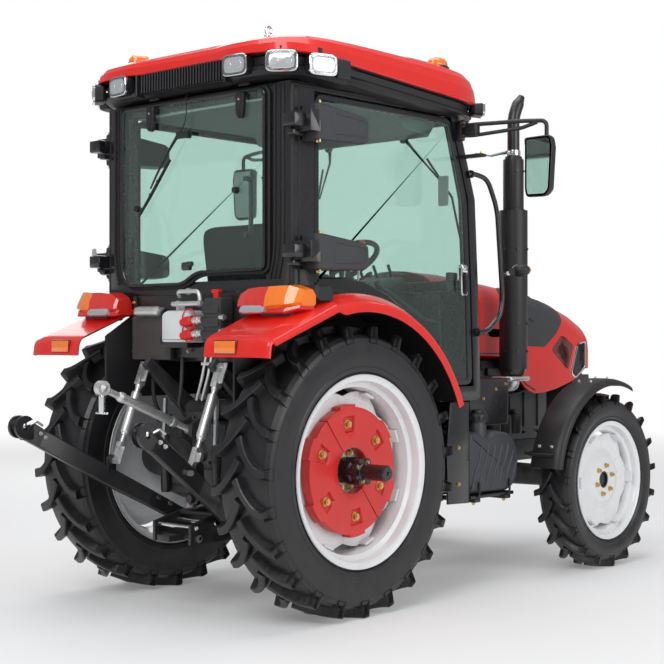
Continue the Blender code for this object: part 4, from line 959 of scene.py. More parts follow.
def buildLead():  # thin cable from the roof to the wiper motor
    spots = [onRear((y, z), x) for y, z, x in leadSet["points"]]
    path = []
    for a, b in zip(spots, spots[1:]):
        path += [a.lerp(b, k / 4) for k in range(4)]
    path.append(spots[-1])
    bm = bmesh.new()
    pipe(bm, path, leadSet["thick"] / 2, 8)
    outwards(bm)
    mesh = bpy.data.meshes.new("wiper_lead")
    bm.to_mesh(mesh)
    bm.free()
    mesh.polygons.foreach_set("use_smooth", [True] * len(mesh.polygons))
    mesh.materials.append(sealRubber)
    lead = bpy.data.objects.new("wiper_lead", mesh)
    bpy.context.scene.collection.objects.link(lead)
    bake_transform(lead)
    length = sum((b - a).length for a, b in zip(path, path[1:]))
    [tuple(spot) for spot in path]


def buildRearWindow():
    outline = rearOutline()
    bm = bmesh.new()
    border(bm, outline, ((0.000, -0.327), (0.000, -0.341), (0.003, -0.344), (0.012, -0.344), (0.015, -0.341),
                         (0.015, -0.327)), onRear)
    makePiece("rear_frame", bm, frameBlack, "window", ["rear_window"])
    bm = bmesh.new()
    panel(bm, insetOutline(outline, 0.011), onRear, -0.339, -0.334)
    makePiece("rear_pane", bm, tintedPane, "window", ["rear_glass"], 60.0)
    bm = bmesh.new()  # seal on the cab behind the window
    border(bm, insetOutline(outline, -0.012), ((0.000, -0.311), (0.000, -0.322), (0.006, -0.325), (0.024, -0.325),
                                               (0.028, -0.316), (0.028, -0.311)), onRear)
    makePiece("rear_seal", bm, sealRubber, "chassis")

    moving, fixed, bright = bmesh.new(), bmesh.new(), bmesh.new()
    for y in (0.262, -0.345):  # strap hinges at the top edge
        path = roundCorners(((y - 0.026, 2.334), (y + 0.026, 2.334), (y + 0.024, 2.260), (y + 0.016, 2.216),
                             (y - 0.016, 2.216), (y - 0.024, 2.260)), 0.014, 3)
        loft(moving, [[onRear(p, depth) for p in insetOutline(path, inset)]
                      for depth, inset in ((-0.340, 0.0), (-0.356, 0.0), (-0.361, 0.004))])
        border(moving, insetOutline(path, 0.009), ((0.0, -0.3605), (0.001, -0.3625), (0.004, -0.3625), (0.005, -0.3605)),
               onRear)
        disc(moving, onRear((y, 2.232), -0.3635), (-1, 0, 0), 0.010, 0.006, 14)
        box(fixed, onRear((y - 0.034, 2.364), -0.332), onRear((y + 0.034, 2.380), -0.305), 0.004, 2)
    makePiece("window_hinges", moving, mouldedBlack, "window")
    makePiece("hinge_blocks", fixed, mouldedBlack, "chassis")

    bm = bmesh.new()  # wiper motor cap, arm and blade on the glass
    pivot, reach = (0.000, 2.176), (0.338, 1.822)
    disc(bm, onRear(pivot, -0.354), (-1, 0, 0), 0.016, 0.028, 18)
    box(bm, onRear((-0.020, 2.160), -0.372), onRear((0.064, 2.192), -0.354), 0.006, 2)
    arm = [onRear((0.050, 2.180), -0.366), onRear((0.112, 2.110), -0.370), onRear((0.200, 2.008), -0.366),
           onRear((0.252, 1.946), -0.360)]
    pipe(bm, arm, [0.008, 0.006, 0.005, 0.004], 8)
    blade = [(0.118, 2.070), (0.186, 1.994), (0.262, 1.906), reach]
    pipe(bm, [onRear(p, -0.358) for p in blade], 0.0055, 8)
    pipe(bm, [onRear(p, -0.350) for p in blade], [0.003, 0.006, 0.006, 0.003], 8, 0.4)
    for share in (0.12, 0.38, 0.62, 0.88):
        spot = Vector(blade[0]).lerp(Vector(blade[-1]), share)
        disc(bm, onRear(spot, -0.358), (-1, 0, 0), 0.008, 0.010, 10)
    for y, z in ((0.362, 1.858), (-0.312, 1.900)):  # knobs on the glass
        disc(bm, onRear((y, z), -0.350), (-1, 0, 0), 0.016, 0.022, 18, 0.013)
    makePiece("rear_wiper", bm, mouldedBlack, "window")
    for y in (-0.345, 0.262):
        disc(bright, onRear((y, 2.300), -0.362), (-1, 0, 0), 0.005, 0.004, 12)
    makePiece("hinge_caps", bright, zincPlate, "window")
    buildLead()

    bm = bmesh.new()  # grip and latch along the bottom edge, inside
    pipe(bm, bend([onRear((-0.352, 1.950), -0.330), onRear((-0.352, 1.950), -0.290), onRear((-0.352, 1.700), -0.290),
                   onRear((-0.352, 1.700), -0.330)], 0.02), 0.011, 10)
    box(bm, onRear((-0.020, 1.552), -0.366), onRear((0.034, 1.590), -0.340), 0.008, 2)
    disc(bm, onRear((-0.024, 1.580), -0.362), (0, 1, 0), 0.012, 0.030, 14)
    makePiece("window_latch", bm, darkSteel, "window")


def buildCabShell():
    softened("cab_frame", frameBlack, "chassis", 0.006, 3, "cab_pillars")
    bm = bmesh.new()
    for side, sign in sides.items():
        # ribbed trims beside the rear window and along the rear pillar
        for y, wide, deep in ((0.520, 0.016, 0.014), (0.548, 0.010, 0.008), (0.572, 0.018, 0.012)):
            path = bend([at(-0.310, y * sign, 2.350), at(-0.310, y * sign, 1.620), at(-0.310, (y - 0.03) * sign, 1.500)],
                        0.05)
            pipe(bm, path, wide / 2, 8)
        path = [at(-0.300, 0.612 * sign, 2.345), at(-0.300, 0.612 * sign, 1.450)]
        pipe(bm, path, 0.012, 10)
        pipe(bm, [at(-0.262, 0.617 * sign, 2.345), at(-0.262, 0.617 * sign, 1.460)], 0.007, 8)
        # gutter over the door, following the roof
        path = [at(-0.30, 0.616 * sign, 2.346), at(0.30, 0.620 * sign, 2.350), at(0.78, 0.618 * sign, 2.344),
                at(0.872, 0.610 * sign, 2.326)]
        pipe(bm, path, 0.009, 8)
        # front pillar bead
        pipe(bm, [at(0.884, 0.606 * sign, 2.320), at(1.026, 0.606 * sign, 1.935), at(1.052, 0.606 * sign, 1.510),
                  at(1.074, 0.600 * sign, 0.960)], 0.008, 8)
    makePiece("cab_trims", bm, sealRubber, "chassis")
    bm = bmesh.new()  # gasket round the windshield
    front = ((1.0447, 1.5203), (1.020, 1.935), (0.8880, 2.3090))
    path = [at(x - 0.012, y, z) for y in (-0.556,) for x, z in front]
    path += [at(x - 0.012, 0.556, z) for x, z in reversed(front)]
    pipe(bm, [path[0], path[1], path[2], path[3], path[4], path[5], path[0]], 0.013, 8)
    makePiece("windshield_seal", bm, sealRubber, "chassis")
    bm = bmesh.new()  # two front wipers
    for sign in (-1, 1):
        pipe(bm, [at(0.905, 0.26 * sign, 2.262), at(0.950, 0.30 * sign, 2.190), at(1.020, 0.44 * sign, 2.010)],
             [0.010, 0.006, 0.004], 8)
        pipe(bm, [at(0.960, 0.36 * sign, 2.160), at(1.026, 0.47 * sign, 1.960), at(1.040, 0.52 * sign, 1.720)],
             0.006, 8)
        disc(bm, at(0.896, 0.26 * sign, 2.258), (1, 0, 0.35), 0.018, 0.030, 14)
    makePiece("front_wipers", bm, mouldedBlack, "chassis")


for side in sides:
    buildDoor(side)
buildRearWindow()
buildCabShell()
print("cab, doors and rear window built")


# mudguards, lamps and hood
def shellAlong(bm, path, section, side, tail=0):
    # section of (distance from the centre plane, drop) carried along a line of (x, z, outward x, outward z);
    # over the last stations the drop shrinks, so that the lip turns the corner at the tail
    rings = []
    for i, (x, z, nx, nz) in enumerate(path):
        share = max(0.0, i - (len(path) - 1 - tail)) / max(tail, 1)
        scale = 1.0 - 0.62 * min(share * 2.2, 1.0)
        rings.append([Vector((x - nx * drop * scale, sides[side] * wide, z - nz * drop * scale)) for wide, drop in section])
    loft(bm, rings)


def lineNormals(points):  # adds the outward direction to a line of (x, z) that runs front to rear
    line = []
    for i, (x, z) in enumerate(points):
        before, after = points[max(i - 1, 0)], points[min(i + 1, len(points) - 1)]
        run = Vector((after[0] - before[0], after[1] - before[1])).normalized()
        line.append((x, z, run.y, -run.x))
    return line


guardSet = {"arc": 0.790, "first": 21.6, "last": 106.0, "inner": 0.430, "outer": 0.800,
            "tail": ((-0.640, 1.238), (-0.650, 1.160)), "tapered": 10}


def guardLine(lift=0.0):
    reach = guardSet["arc"] + lift
    points = [(rearAxle.x + reach * math.cos(turn), rearAxle.z + reach * math.sin(turn))
              for turn in (math.radians(guardSet["first"] + (guardSet["last"] - guardSet["first"]) * k / 44)
                           for k in range(45))]
    (tx, tz), (ex, ez) = guardSet["tail"]
    corner = [Vector((*points[-1], 0)), Vector((rearAxle.x + tx, tz, 0)), Vector((rearAxle.x + ex - lift, ez, 0))]
    rounded = bend(corner, 0.045, 6)[1:]
    return lineNormals(points + [(spot.x, spot.y) for spot in rounded])


def buildRearMudguard(side):
    inner, outer = guardSet["inner"], guardSet["outer"]
    line = guardLine()
    top = ((inner, 0.0), (outer - 0.090, 0.0), (outer - 0.070, 0.002), (outer - 0.056, 0.008), (outer - 0.014, 0.034),
           (outer - 0.003, 0.044), (outer, 0.056), (outer, 0.082), (outer - 0.003, 0.085), (outer - 0.007, 0.082),
           (outer - 0.008, 0.060), (outer - 0.018, 0.044), (outer - 0.060, 0.015), (outer - 0.090, 0.007), (inner, 0.007))
    bm = bmesh.new()
    shellAlong(bm, line, top, side, guardSet["tapered"])
    makePiece(f"mudguard_{side}", bm, redPaint, "chassis", [f"rear_mudguard_{side}"], 40.0)
    bm = bmesh.new()
    under = ((inner, 0.0078), (outer - 0.092, 0.0078), (outer - 0.061, 0.016), (outer - 0.020, 0.045),
             (outer - 0.0092, 0.061), (outer - 0.0092, 0.080), (outer - 0.013, 0.080), (outer - 0.014, 0.064),
             (outer - 0.024, 0.050), (outer - 0.064, 0.022), (outer - 0.094, 0.014), (inner, 0.014))
    shellAlong(bm, line, under, side, guardSet["tapered"])
    low = math.asin((0.960 - rearAxle.z) / 0.772)
    wall = [(rearAxle.x + 0.772 * math.cos(a), rearAxle.z + 0.772 * math.sin(a))
            for a in (low + (math.radians(113.0) - low) * k / 24 for k in range(25))]
    wall += [(rearAxle.x - 0.480, 1.250), (rearAxle.x - 0.480, 0.960)]
    near, far = sorted((sides[side] * inner, sides[side] * (inner + 0.014)))
    slab(bm, wall, "Y", near, far, 0.003)
    makePiece(f"mudguard_liner_{side}", bm, mouldedBlack, "chassis", angle=40.0)
    # the amber reflector at the tail
    bm = bmesh.new()
    low, high = sorted((sides[side] * 0.500, sides[side] * 0.622))
    box(bm, (rearAxle.x - 0.6565, low, 1.176), (rearAxle.x - 0.640, high, 1.228), 0.004, 3)
    makePiece(f"tail_reflector_{side}", bm, amberLens, "chassis")
    # dark red rim behind the reflector, painted shade of the pocket that holds it
    bm = bmesh.new()
    low, high = sorted((sides[side] * 0.495, sides[side] * 0.627))
    box(bm, (rearAxle.x - 0.6515, low, 1.171), (rearAxle.x - 0.638, high, 1.233), 0.003, 2)
    makePiece(f"reflector_pocket_shade_{side}", bm, paintedShadeRed, "chassis")
    bm = bmesh.new()  # heads along the front edge where the mudguard is held
    for turn, wide in ((28.0, 0.70), (58.0, 0.50), (84.0, 0.50)):
        ray = Vector((math.cos(math.radians(turn)), 0, math.sin(math.radians(turn))))
        disc(bm, Vector((rearAxle.x, sides[side] * wide, rearAxle.z)) + ray * (guardSet["arc"] + 0.002),
             ray, 0.011, 0.006, 14, 0.008)
    makePiece(f"mudguard_heads_{side}", bm, redPaint, "chassis")


lampShape = {"inner": 0.412, "split": 0.596, "outer": 0.768}


def lampRing(side, y, rear, front, low, high, cut):  # a chamfered slice of the lamp across the tractor
    points = ((rear + cut, low), (rear, low + cut * 0.7), (rear + cut * 0.3, high - cut * 1.6), (rear + cut * 1.2, high),
              (front - cut, high + 0.004), (front, high - cut), (front, low + cut * 0.4), (front - cut * 0.5, low))
    return [Vector((rearAxle.x + x, sides[side] * y, z)) for x, z in points]


def buildRearLamp(side):
    red, amber, clear, house = bmesh.new(), bmesh.new(), bmesh.new(), bmesh.new()
    split = lampShape["split"]
    slices = [(lampShape["inner"], -0.434, -0.340, 1.376, 1.420, 0.012), (0.424, -0.446, -0.330, 1.366, 1.432, 0.018),
              (0.470, -0.454, -0.326, 1.360, 1.454, 0.026), (0.540, -0.458, -0.324, 1.356, 1.460, 0.026),
              (split, -0.458, -0.322, 1.356, 1.460, 0.026)]
    loft(red, [lampRing(side, *row) for row in slices])
    slices = [(split + 0.001, -0.458, -0.322, 1.358, 1.461, 0.026), (0.650, -0.454, -0.318, 1.360, 1.463, 0.028),
              (0.700, -0.440, -0.312, 1.364, 1.464, 0.028), (0.738, -0.418, -0.306, 1.370, 1.452, 0.026),
              (0.757, -0.396, -0.302, 1.378, 1.444, 0.020)]
    loft(amber, [lampRing(side, *row) for row in slices])
    slices = [(0.410, -0.428, -0.330, 1.352, 1.378, 0.010), (0.440, -0.448, -0.326, 1.343, 1.366, 0.008),
              (0.700, -0.444, -0.316, 1.345, 1.366, 0.008), (0.752, -0.402, -0.306, 1.362, 1.380, 0.008)]
    loft(red, [lampRing(side, *row) for row in slices])
    slices = [(0.452, -0.4615, -0.440, 1.350, 1.374, 0.006), (0.470, -0.4640, -0.440, 1.346, 1.380, 0.006),
              (0.580, -0.4640, -0.440, 1.346, 1.380, 0.006), (0.600, -0.4615, -0.440, 1.350, 1.374, 0.006)]
    loft(clear, [lampRing(side, *row) for row in slices])
    # black housing that stands on the mudguard and closes the front of the lamp
    slices = [(0.470, -0.326, -0.294, 1.372, 1.446, 0.012), (0.640, -0.318, -0.262, 1.376, 1.462, 0.018),
              (0.740, -0.306, -0.196, 1.392, 1.470, 0.020), (0.764, -0.298, -0.200, 1.402, 1.460, 0.016)]
    loft(house, [lampRing(side, *row) for row in slices])
    low, high = sorted((sides[side] * 0.520, sides[side] * 0.700))
    box(house, (rearAxle.x - 0.400, low, 1.325), (rearAxle.x - 0.300, high, 1.366), 0.010, 2)
    makePiece(f"lamp_red_{side}", red, redLens, "chassis", [f"rear_lamp_{side}"], 20.0)
    makePiece(f"lamp_amber_{side}", amber, amberLens, "chassis", angle=20.0)
    makePiece(f"lamp_clear_{side}", clear, clearLens, "chassis", angle=20.0)
    makePiece(f"lamp_house_{side}", house, mouldedBlack, "chassis", angle=26.0)


frontGuardSet = {"arc": 0.550, "first": 170.0, "last": 68.0, "inner": 0.660, "outer": 0.842}


def buildFrontMudguard(side):
    hub = middle(f"front_tyre_{side}")
    inner, outer = frontGuardSet["inner"], frontGuardSet["outer"]
    turns = [math.radians(frontGuardSet["last"] + (frontGuardSet["first"] - frontGuardSet["last"]) * k / 48)
             for k in range(49)]
    line = [(hub.x + frontGuardSet["arc"] * math.cos(a), hub.z + frontGuardSet["arc"] * math.sin(a),
             math.cos(a), math.sin(a)) for a in turns]
    section = ((inner, 0.004), (inner + 0.010, 0.0), (outer - 0.042, 0.0), (outer - 0.022, 0.005), (outer - 0.008, 0.016),
               (outer, 0.032), (outer - 0.002, 0.037), (outer - 0.006, 0.034), (outer - 0.014, 0.020),
               (outer - 0.026, 0.011), (outer - 0.044, 0.006), (inner, 0.008))
    bm = bmesh.new()
    shellAlong(bm, line, section, side)
    makePiece(f"front_guard_{side}", bm, mouldedBlack, f"steering_{side}", [f"front_mudguard_{side}"], 50.0)
    bm = bmesh.new()  # strap under the shell and its arm to the knuckle
    pipe(bm, bend([Vector((hub.x, sides[side] * y, hub.z + z)) for y, z in
                   ((0.604, 0.145), (0.604, 0.300), (0.612, 0.534), (0.700, 0.541), (0.800, 0.541))], 0.04), 0.011, 10)
    pipe(bm, bend([Vector((hub.x + x, sides[side] * y, hub.z + z)) for x, y, z in
                   ((-0.03, 0.604, 0.145), (-0.20, 0.604, 0.180), (-0.504, 0.605, 0.165), (-0.530, 0.640, 0.162), (-0.530, 0.800, 0.162))],
                  0.04), 0.010, 10)
    makePiece(f"guard_stays_{side}", bm, chassisBlack, f"steering_{side}")
    bm = bmesh.new()
    for turn in (86.0, 104.0, 158.0):
        for wide in (0.700, 0.775):
            ray = Vector((math.cos(math.radians(turn)), 0, math.sin(math.radians(turn))))
            bolt(bm, Vector((hub.x, sides[side] * wide, hub.z)) + ray * frontGuardSet["arc"], ray, 0.015, 0.007)
    makePiece(f"guard_bolts_{side}", bm, zincPlate, f"steering_{side}")


hoodSet = {  # x from the rear axle, half width, top, lower edge
    "stations": ((1.120, 0.300, 1.600, 1.160), (1.400, 0.300, 1.590, 1.150), (1.690, 0.300, 1.562, 1.140),
                 (1.840, 0.300, 1.545, 1.040), (1.940, 0.299, 1.532, 0.955), (2.030, 0.298, 1.518, 0.925),
                 (2.130, 0.297, 1.500, 0.930), (2.240, 0.295, 1.478, 0.945), (2.400, 0.289, 1.438, 0.980),
                 (2.500, 0.283, 1.408, 1.010), (2.600, 0.274, 1.368, 1.060)),
    "plate": 0.014}


def hoodAt(x):  # half width, top and lower edge of the hood at a place along it
    rows = hoodSet["stations"]
    for a, b in zip(rows, rows[1:]):
        if x <= b[0] or b is rows[-1]:
            share = min(max((x - a[0]) / (b[0] - a[0]), 0.0), 1.0)
            return [p + (q - p) * share for p, q in zip(a[1:], b[1:])]


def hoodOutline(x, half, top, low, inset):
    half, top = half - inset, top - inset
    points = [(half, low), (half, low + (top - low) * 0.35), (half, top - 0.150)]
    for k in range(1, 8):  # shoulder
        turn = math.radians(90 * k / 8)
        points.append((half - 0.150 + 0.150 * math.cos(turn), top - 0.150 + 0.128 * math.sin(turn)))
    points += [(half - 0.165, top - 0.015), (half - 0.215, top - 0.004), (0.0, top)]
    full = points + [(-y, z) for y, z in reversed(points[:-1])]
    return [at(x, y, z) for y, z in full]


def hoodPatch(bm, outline, side, out=0.003, thick=0.004):  # a shallow plate laid on the hood's side
    def lift(x, z, extra):
        half, top, _ = hoodAt(x)
        over = max(z - (top - 0.150), 0.0)
        share = min(over / 0.128, 1.0)
        y = half - 0.150 + 0.150 * math.sqrt(max(1.0 - share * share, 0.0))
        rise = extra * share
        return at(x, sides[side] * (y + extra * (1.0 - 0.5 * share)), z + rise)
    path = roundCorners([Vector(point) for point in outline], 0.030, 4)
    dense = []
    for a, b in zip(path, path[1:] + path[:1]):
        steps = max(1, int((b - a).length / 0.02))
        dense += [a.lerp(b, k / steps) for k in range(steps)]
    middleSpot = sum(dense, Vector((0, 0))) / len(dense)
    rings = []
    for share, extra in ((1.0, -0.004), (1.0, out), (0.985, out + thick), (0.90, out + thick), (0.78, out + thick),
                         (0.62, out + thick), (0.45, out + thick), (0.30, out + thick), (0.15, out + thick),
                         (0.04, out + thick)):
        rings.append([lift(*(middleSpot + (spot - middleSpot) * share), extra) for spot in dense])
    loft(bm, rings)


def buildHood():
    bm = bmesh.new()
    rings = []
    rows = hoodSet["stations"]
    steps = 44
    for k in range(steps + 1):
        x = rows[0][0] + (rows[-1][0] - rows[0][0]) * k / steps
        half, top, low = hoodAt(x)
        outer = hoodOutline(x, half, top, low, 0.0)
        inner = hoodOutline(x, half, top, low, hoodSet["plate"])
        rings.append(outer + inner[::-1])
    loft(bm, rings)
    makePiece("hood_shell", bm, redPaint, "bonnet", ["hood"], 46.0, weld=True)
    bm = bmesh.new()  # nose with its grille frame
    front = ((2.604, 0.274, 1.366, 1.060), (2.640, 0.266, 1.345, 1.060), (2.664, 0.254, 1.318, 1.064),
             (2.680, 0.232, 1.288, 1.078))
    loft(bm, [hoodOutline(*row, 0.0) for row in front])
    makePiece("nose_shell", bm, redPaint, "bonnet", ["hood_nose"], 46.0, weld=True)
    mesh, deep, chrome, line = bmesh.new(), bmesh.new(), bmesh.new(), bmesh.new()
    for side, sign in sides.items():
        hoodPatch(mesh, ((1.690, 1.440), (1.700, 1.250), (1.980, 1.196), (2.130, 1.190), (2.255, 1.270), (2.322, 1.348),
                         (2.318, 1.402), (2.200, 1.482), (1.900, 1.520), (1.740, 1.520)), side, 0.002, 0.004)
        # flat dark red sheet between the mesh panel and the corner grille, painted shade of a recess in the hood's side
        hoodPatch(deep, ((2.318, 1.262), (2.200, 1.174), (2.386, 1.052), (2.452, 1.202)), side, 0.000, 0.0015)
        # mesh grille on the corner with a bright edge
        path = roundCorners([Vector(p) for p in ((2.500, 1.208), (2.424, 1.036), (2.470, 1.008), (2.590, 1.070),
                                                 (2.592, 1.222))], 0.016, 4)
        edge = [at(x, sign * (hoodAt(x)[0] + 0.002), z) for x, z in path]
        hoodPatch(line, [tuple(p) for p in path], side, 0.001, 0.003)
        pipe(chrome, edge[4:] + edge[:1], 0.0055, 8)
        hoodPatch(chrome, ((1.540, 1.292), (1.585, 1.246), (1.680, 1.246), (1.680, 1.292)), side, 0.001, 0.003)
        # pressed crease along the side
        crease = [at(x, sign * (hoodAt(x)[0] + 0.001), z) for x, z in
                  ((1.14, 1.174), (1.45, 1.160), (1.68, 1.155), (1.82, 1.075), (1.93, 0.985), (2.03, 0.945))]
        pipe(mesh, crease, 0.004, 6)
    bars = 9
    for k in range(bars):  # grille bars across the nose
        z = 1.092 + 0.165 * k / (bars - 1)
        box(line, at(2.650, -0.205, z - 0.004), at(2.6835, 0.205, z + 0.004), 0.002, 1)
    makePiece("mesh_panels", mesh, coverGrey, "bonnet", angle=30.0)
    makePiece("side_inset_shade", deep, paintedShadeRed, "bonnet", angle=30.0)
    makePiece("bright_trim", chrome, brightChrome, "bonnet", angle=30.0)
    makePiece("corner_grilles", line, mouldedBlack, "bonnet", angle=30.0)


for side in sides:
    buildRearMudguard(side)
    buildRearLamp(side)
    buildFrontMudguard(side)
buildHood()
print("mudguards, lamps and hood built")


# tank, exhaust, mirrors and rails
def lathe(bm, profile, centre, steps=32):  # (radius, height) turned about an upright axis
    spot = Vector(centre)
    verts = [bm.verts.new(spot + Vector((radius, 0, height))) for radius, height in profile]
    edges = [bm.edges.new(pair) for pair in zip(verts, verts[1:])]
    bmesh.ops.spin(bm, geom=verts + edges, cent=spot, axis=(0, 0, 1), angle=math.tau, steps=steps,
                   use_merge=True, use_duplicate=False)
    bmesh.ops.remove_doubles(bm, verts=bm.verts, dist=1e-6)


tankSet = {"outline": ((0.932, 0.462), (1.300, 0.455), (1.368, 0.520), (1.370, 0.655), (1.322, 0.752), (1.160, 0.775),
                       (1.110, 0.742), (1.020, 0.775), (0.932, 0.772)),
           "ribs": 7, "pitch": 0.056, "neck": (1.065, -0.600)}


def buildTank():
    path = roundCorners([Vector(p) for p in tankSet["outline"]], 0.055, 5)
    rings = []
    for y, inset in ((-0.300, 0.004), (-0.304, 0.0), (-0.600, 0.0), (-0.626, 0.004), (-0.642, 0.014), (-0.649, 0.028),
                     (-0.650, 0.040)):
        rings.append([at(p.x, y, p.y) for p in (insetOutline(path, inset) if inset else path)])
    bm = bmesh.new()
    loft(bm, rings)
    for k in range(tankSet["ribs"]):  # raised ribs that lean forwards with a double bend
        x = 0.952 + tankSet["pitch"] * k
        line = [(x, 0.484), (x + 0.022, 0.540), (x + 0.034, 0.576), (x + 0.062, 0.616), (x + 0.080, 0.664), (x + 0.092, 0.700)]
        line = [(a, b) for a, b in line if a < 1.352 - max(b - 0.640, 0) * 0.7]
        if len(line) > 2:
            pipe(bm, [at(a, -0.6485, b) for a, b in line], [0.004] + [0.0075] * (len(line) - 2) + [0.004], 8)
    neck = tankSet["neck"]
    lathe(bm, ((0.0, 0.735), (0.046, 0.735), (0.046, 0.800), (0.042, 0.806), (0.042, 0.822)), at(*neck, 0.0), 28)
    makePiece("tank_body", bm, tankGrey, "chassis", ["fuel_tank"], 42.0)
    bm = bmesh.new()
    lathe(bm, ((0.0, 0.820), (0.050, 0.820), (0.052, 0.826), (0.052, 0.850), (0.048, 0.858), (0.030, 0.862),
               (0.028, 0.878), (0.0, 0.882)), at(*neck, 0.0), 28)
    for k in range(14):
        turn = math.tau * k / 14
        box(bm, at(neck[0] + 0.052 * math.cos(turn) - 0.003, neck[1] + 0.052 * math.sin(turn) - 0.003, 0.828),
            at(neck[0] + 0.052 * math.cos(turn) + 0.003, neck[1] + 0.052 * math.sin(turn) + 0.003, 0.848), 0.001, 1)
    makePiece("tank_cap", bm, mouldedBlack, "chassis")
    bm = bmesh.new()  # cradle under the tank
    box(bm, at(0.960, -0.640, 0.436), at(1.330, -0.560, 0.453), 0.004)
    box(bm, at(0.960, -0.400, 0.436), at(1.330, -0.320, 0.453), 0.004)
    for x in (1.010, 1.270):
        box(bm, at(x - 0.025, -0.645, 0.418), at(x + 0.025, -0.200, 0.438), 0.004)
        pipe(bm, bend([at(x, -0.310, 0.452), at(x, -0.655, 0.448), at(x, -0.657, 0.520)], 0.02), 0.006, 8)
    makePiece("tank_cradle", bm, chassisBlack, "chassis")
    bm = bmesh.new()
    for x in (1.010, 1.270):
        bolt(bm, at(x, -0.618, 0.418), (0, 0, -1), 0.018)
    for z in (0.702, 0.524):
        bolt(bm, at(0.835, -0.6555, z), (0, -1, 0), 0.016, 0.006)
        bolt(bm, at(0.835, 0.6555, z), (0, 1, 0), 0.016, 0.006)
    for x, z in ((1.300, 0.975), (1.190, 0.930), (1.385, 1.000)):
        bolt(bm, at(x, -0.5455, z), (0, -1, 0), 0.014, 0.006)
    makePiece("side_bolts", bm, goldPlate, "chassis")
    for side in sides:
        softened(f"side_apron_{side}", frameBlack, "chassis", 0.004, 2, f"apron_{side}")
    softened("heat_shield", chassisBlack, "chassis", 0.010, 3, "shield")
    bm = bmesh.new()  # rows of small openings in the shield, and cooling fins below it
    for row in range(6):
        for column in range(8):
            x = 1.170 + column * 0.019 + (row % 2) * 0.0095
            z = 0.850 + row * 0.014
            if (column + row) % 7 == 3:
                continue
            disc(bm, at(x, -0.5455, z), (0, -1, 0), 0.0052, 0.002, 8)
    makePiece("shield_openings", bm, darkSteel, "chassis")
    bm = bmesh.new()
    for k in range(7):
        x = 1.430 + k * 0.018
        box(bm, at(x, -0.400, 0.800), at(x + 0.006, -0.290, 0.905), 0.002, 1)
    box(bm, at(1.420, -0.380, 0.815), at(1.560, -0.205, 0.890), 0.010)
    makePiece("oil_cooler", bm, castGrey, "chassis")
    bm = bmesh.new()  # outlet casting under the silencer
    box(bm, at(1.480, -0.520, 1.010), at(1.660, -0.385, 1.036), 0.010, 3)
    box(bm, at(1.440, -0.490, 0.985), at(1.500, -0.400, 1.012), 0.008, 3)
    pipe(bm, bend([at(1.600, -0.450, 1.030), at(1.600, -0.450, 0.985), at(1.600, -0.205, 0.985)], 0.05, 6), 0.032, 16)
    makePiece("outlet_casting", bm, zincPlate, "chassis")


def buildExhaust():
    bm = bmesh.new()
    x, y = 1.600, -0.450
    lathe(bm, ((0.0, 1.034), (0.040, 1.034), (0.060, 1.046), (0.066, 1.062), (0.066, 1.838), (0.056, 1.856),
               (0.048, 1.872), (0.048, 2.216), (0.044, 2.222), (0.0335, 2.223), (0.0335, 2.300), (0.0, 2.300)), at(x, y, 0.0), 40)
    tip = bend([at(x, y, 2.290), at(x, y, 2.430), at(x + 0.030, y - 0.004, 2.500), at(x + 0.062, y - 0.010, 2.552)], 0.09, 6)
    pipe(bm, tip, [0.0335] * (len(tip) - 4) + [0.033, 0.031, 0.027, 0.019], 24)
    makePiece("exhaust_pipe", bm, chassisBlack, "chassis", ["exhaust"], 34.0)
    bm = bmesh.new()  # half-round guards held off the pipes
    for radius, low, high, first, last in ((0.0765, 1.075, 1.930, 100.0, 330.0), (0.0560, 1.865, 2.205, 110.0, 320.0)):
        steps = 26
        rings = []
        for k in range(steps + 1):
            turn = math.radians(first + (last - first) * k / steps)
            c, s = math.cos(turn), math.sin(turn)
            rings.append([at(x + r * c, y + r * s, z) for r, z in
                          ((radius, low + 0.004), (radius, high - 0.004), (radius - 0.001, high), (radius - 0.004, high),
                           (radius - 0.004, low), (radius - 0.001, low))])
        loft(bm, rings)
    makePiece("exhaust_guards", bm, mouldedBlack, "chassis", angle=34.0)
    bm = bmesh.new()
    for radius, heights in ((0.0765, (1.17, 1.32, 1.72)), (0.0560, (1.93, 2.14))):
        for z in heights:
            for degrees in (180.0, 232.0, 284.0):
                ray = Vector((math.cos(math.radians(degrees)), math.sin(math.radians(degrees)), 0))
                bolt(bm, at(x, y, z) + ray * radius, ray, 0.011, 0.005)
    makePiece("guard_screws", bm, darkSteel, "chassis")
    bm = bmesh.new()
    lathe(bm, ((0.0345, 2.226), (0.038, 2.226), (0.0385, 2.230), (0.0385, 2.250), (0.038, 2.254), (0.0345, 2.254)),
          at(x, y, 0.0), 36)
    box(bm, at(x - 0.056, y - 0.012, 2.230), at(x - 0.036, y + 0.012, 2.250), 0.003)
    pipe(bm, [at(x - 0.050, y, 2.240), at(1.400, -0.510, 2.214), at(1.180, -0.600, 2.172), at(0.915, -0.705, 2.148)],
         [0.010, 0.007, 0.006, 0.006], 8)
    bolt(bm, at(x - 0.046, y - 0.012, 2.240), (0, -1, 0), 0.012)
    makePiece("exhaust_clamp", bm, brightChrome, "chassis")


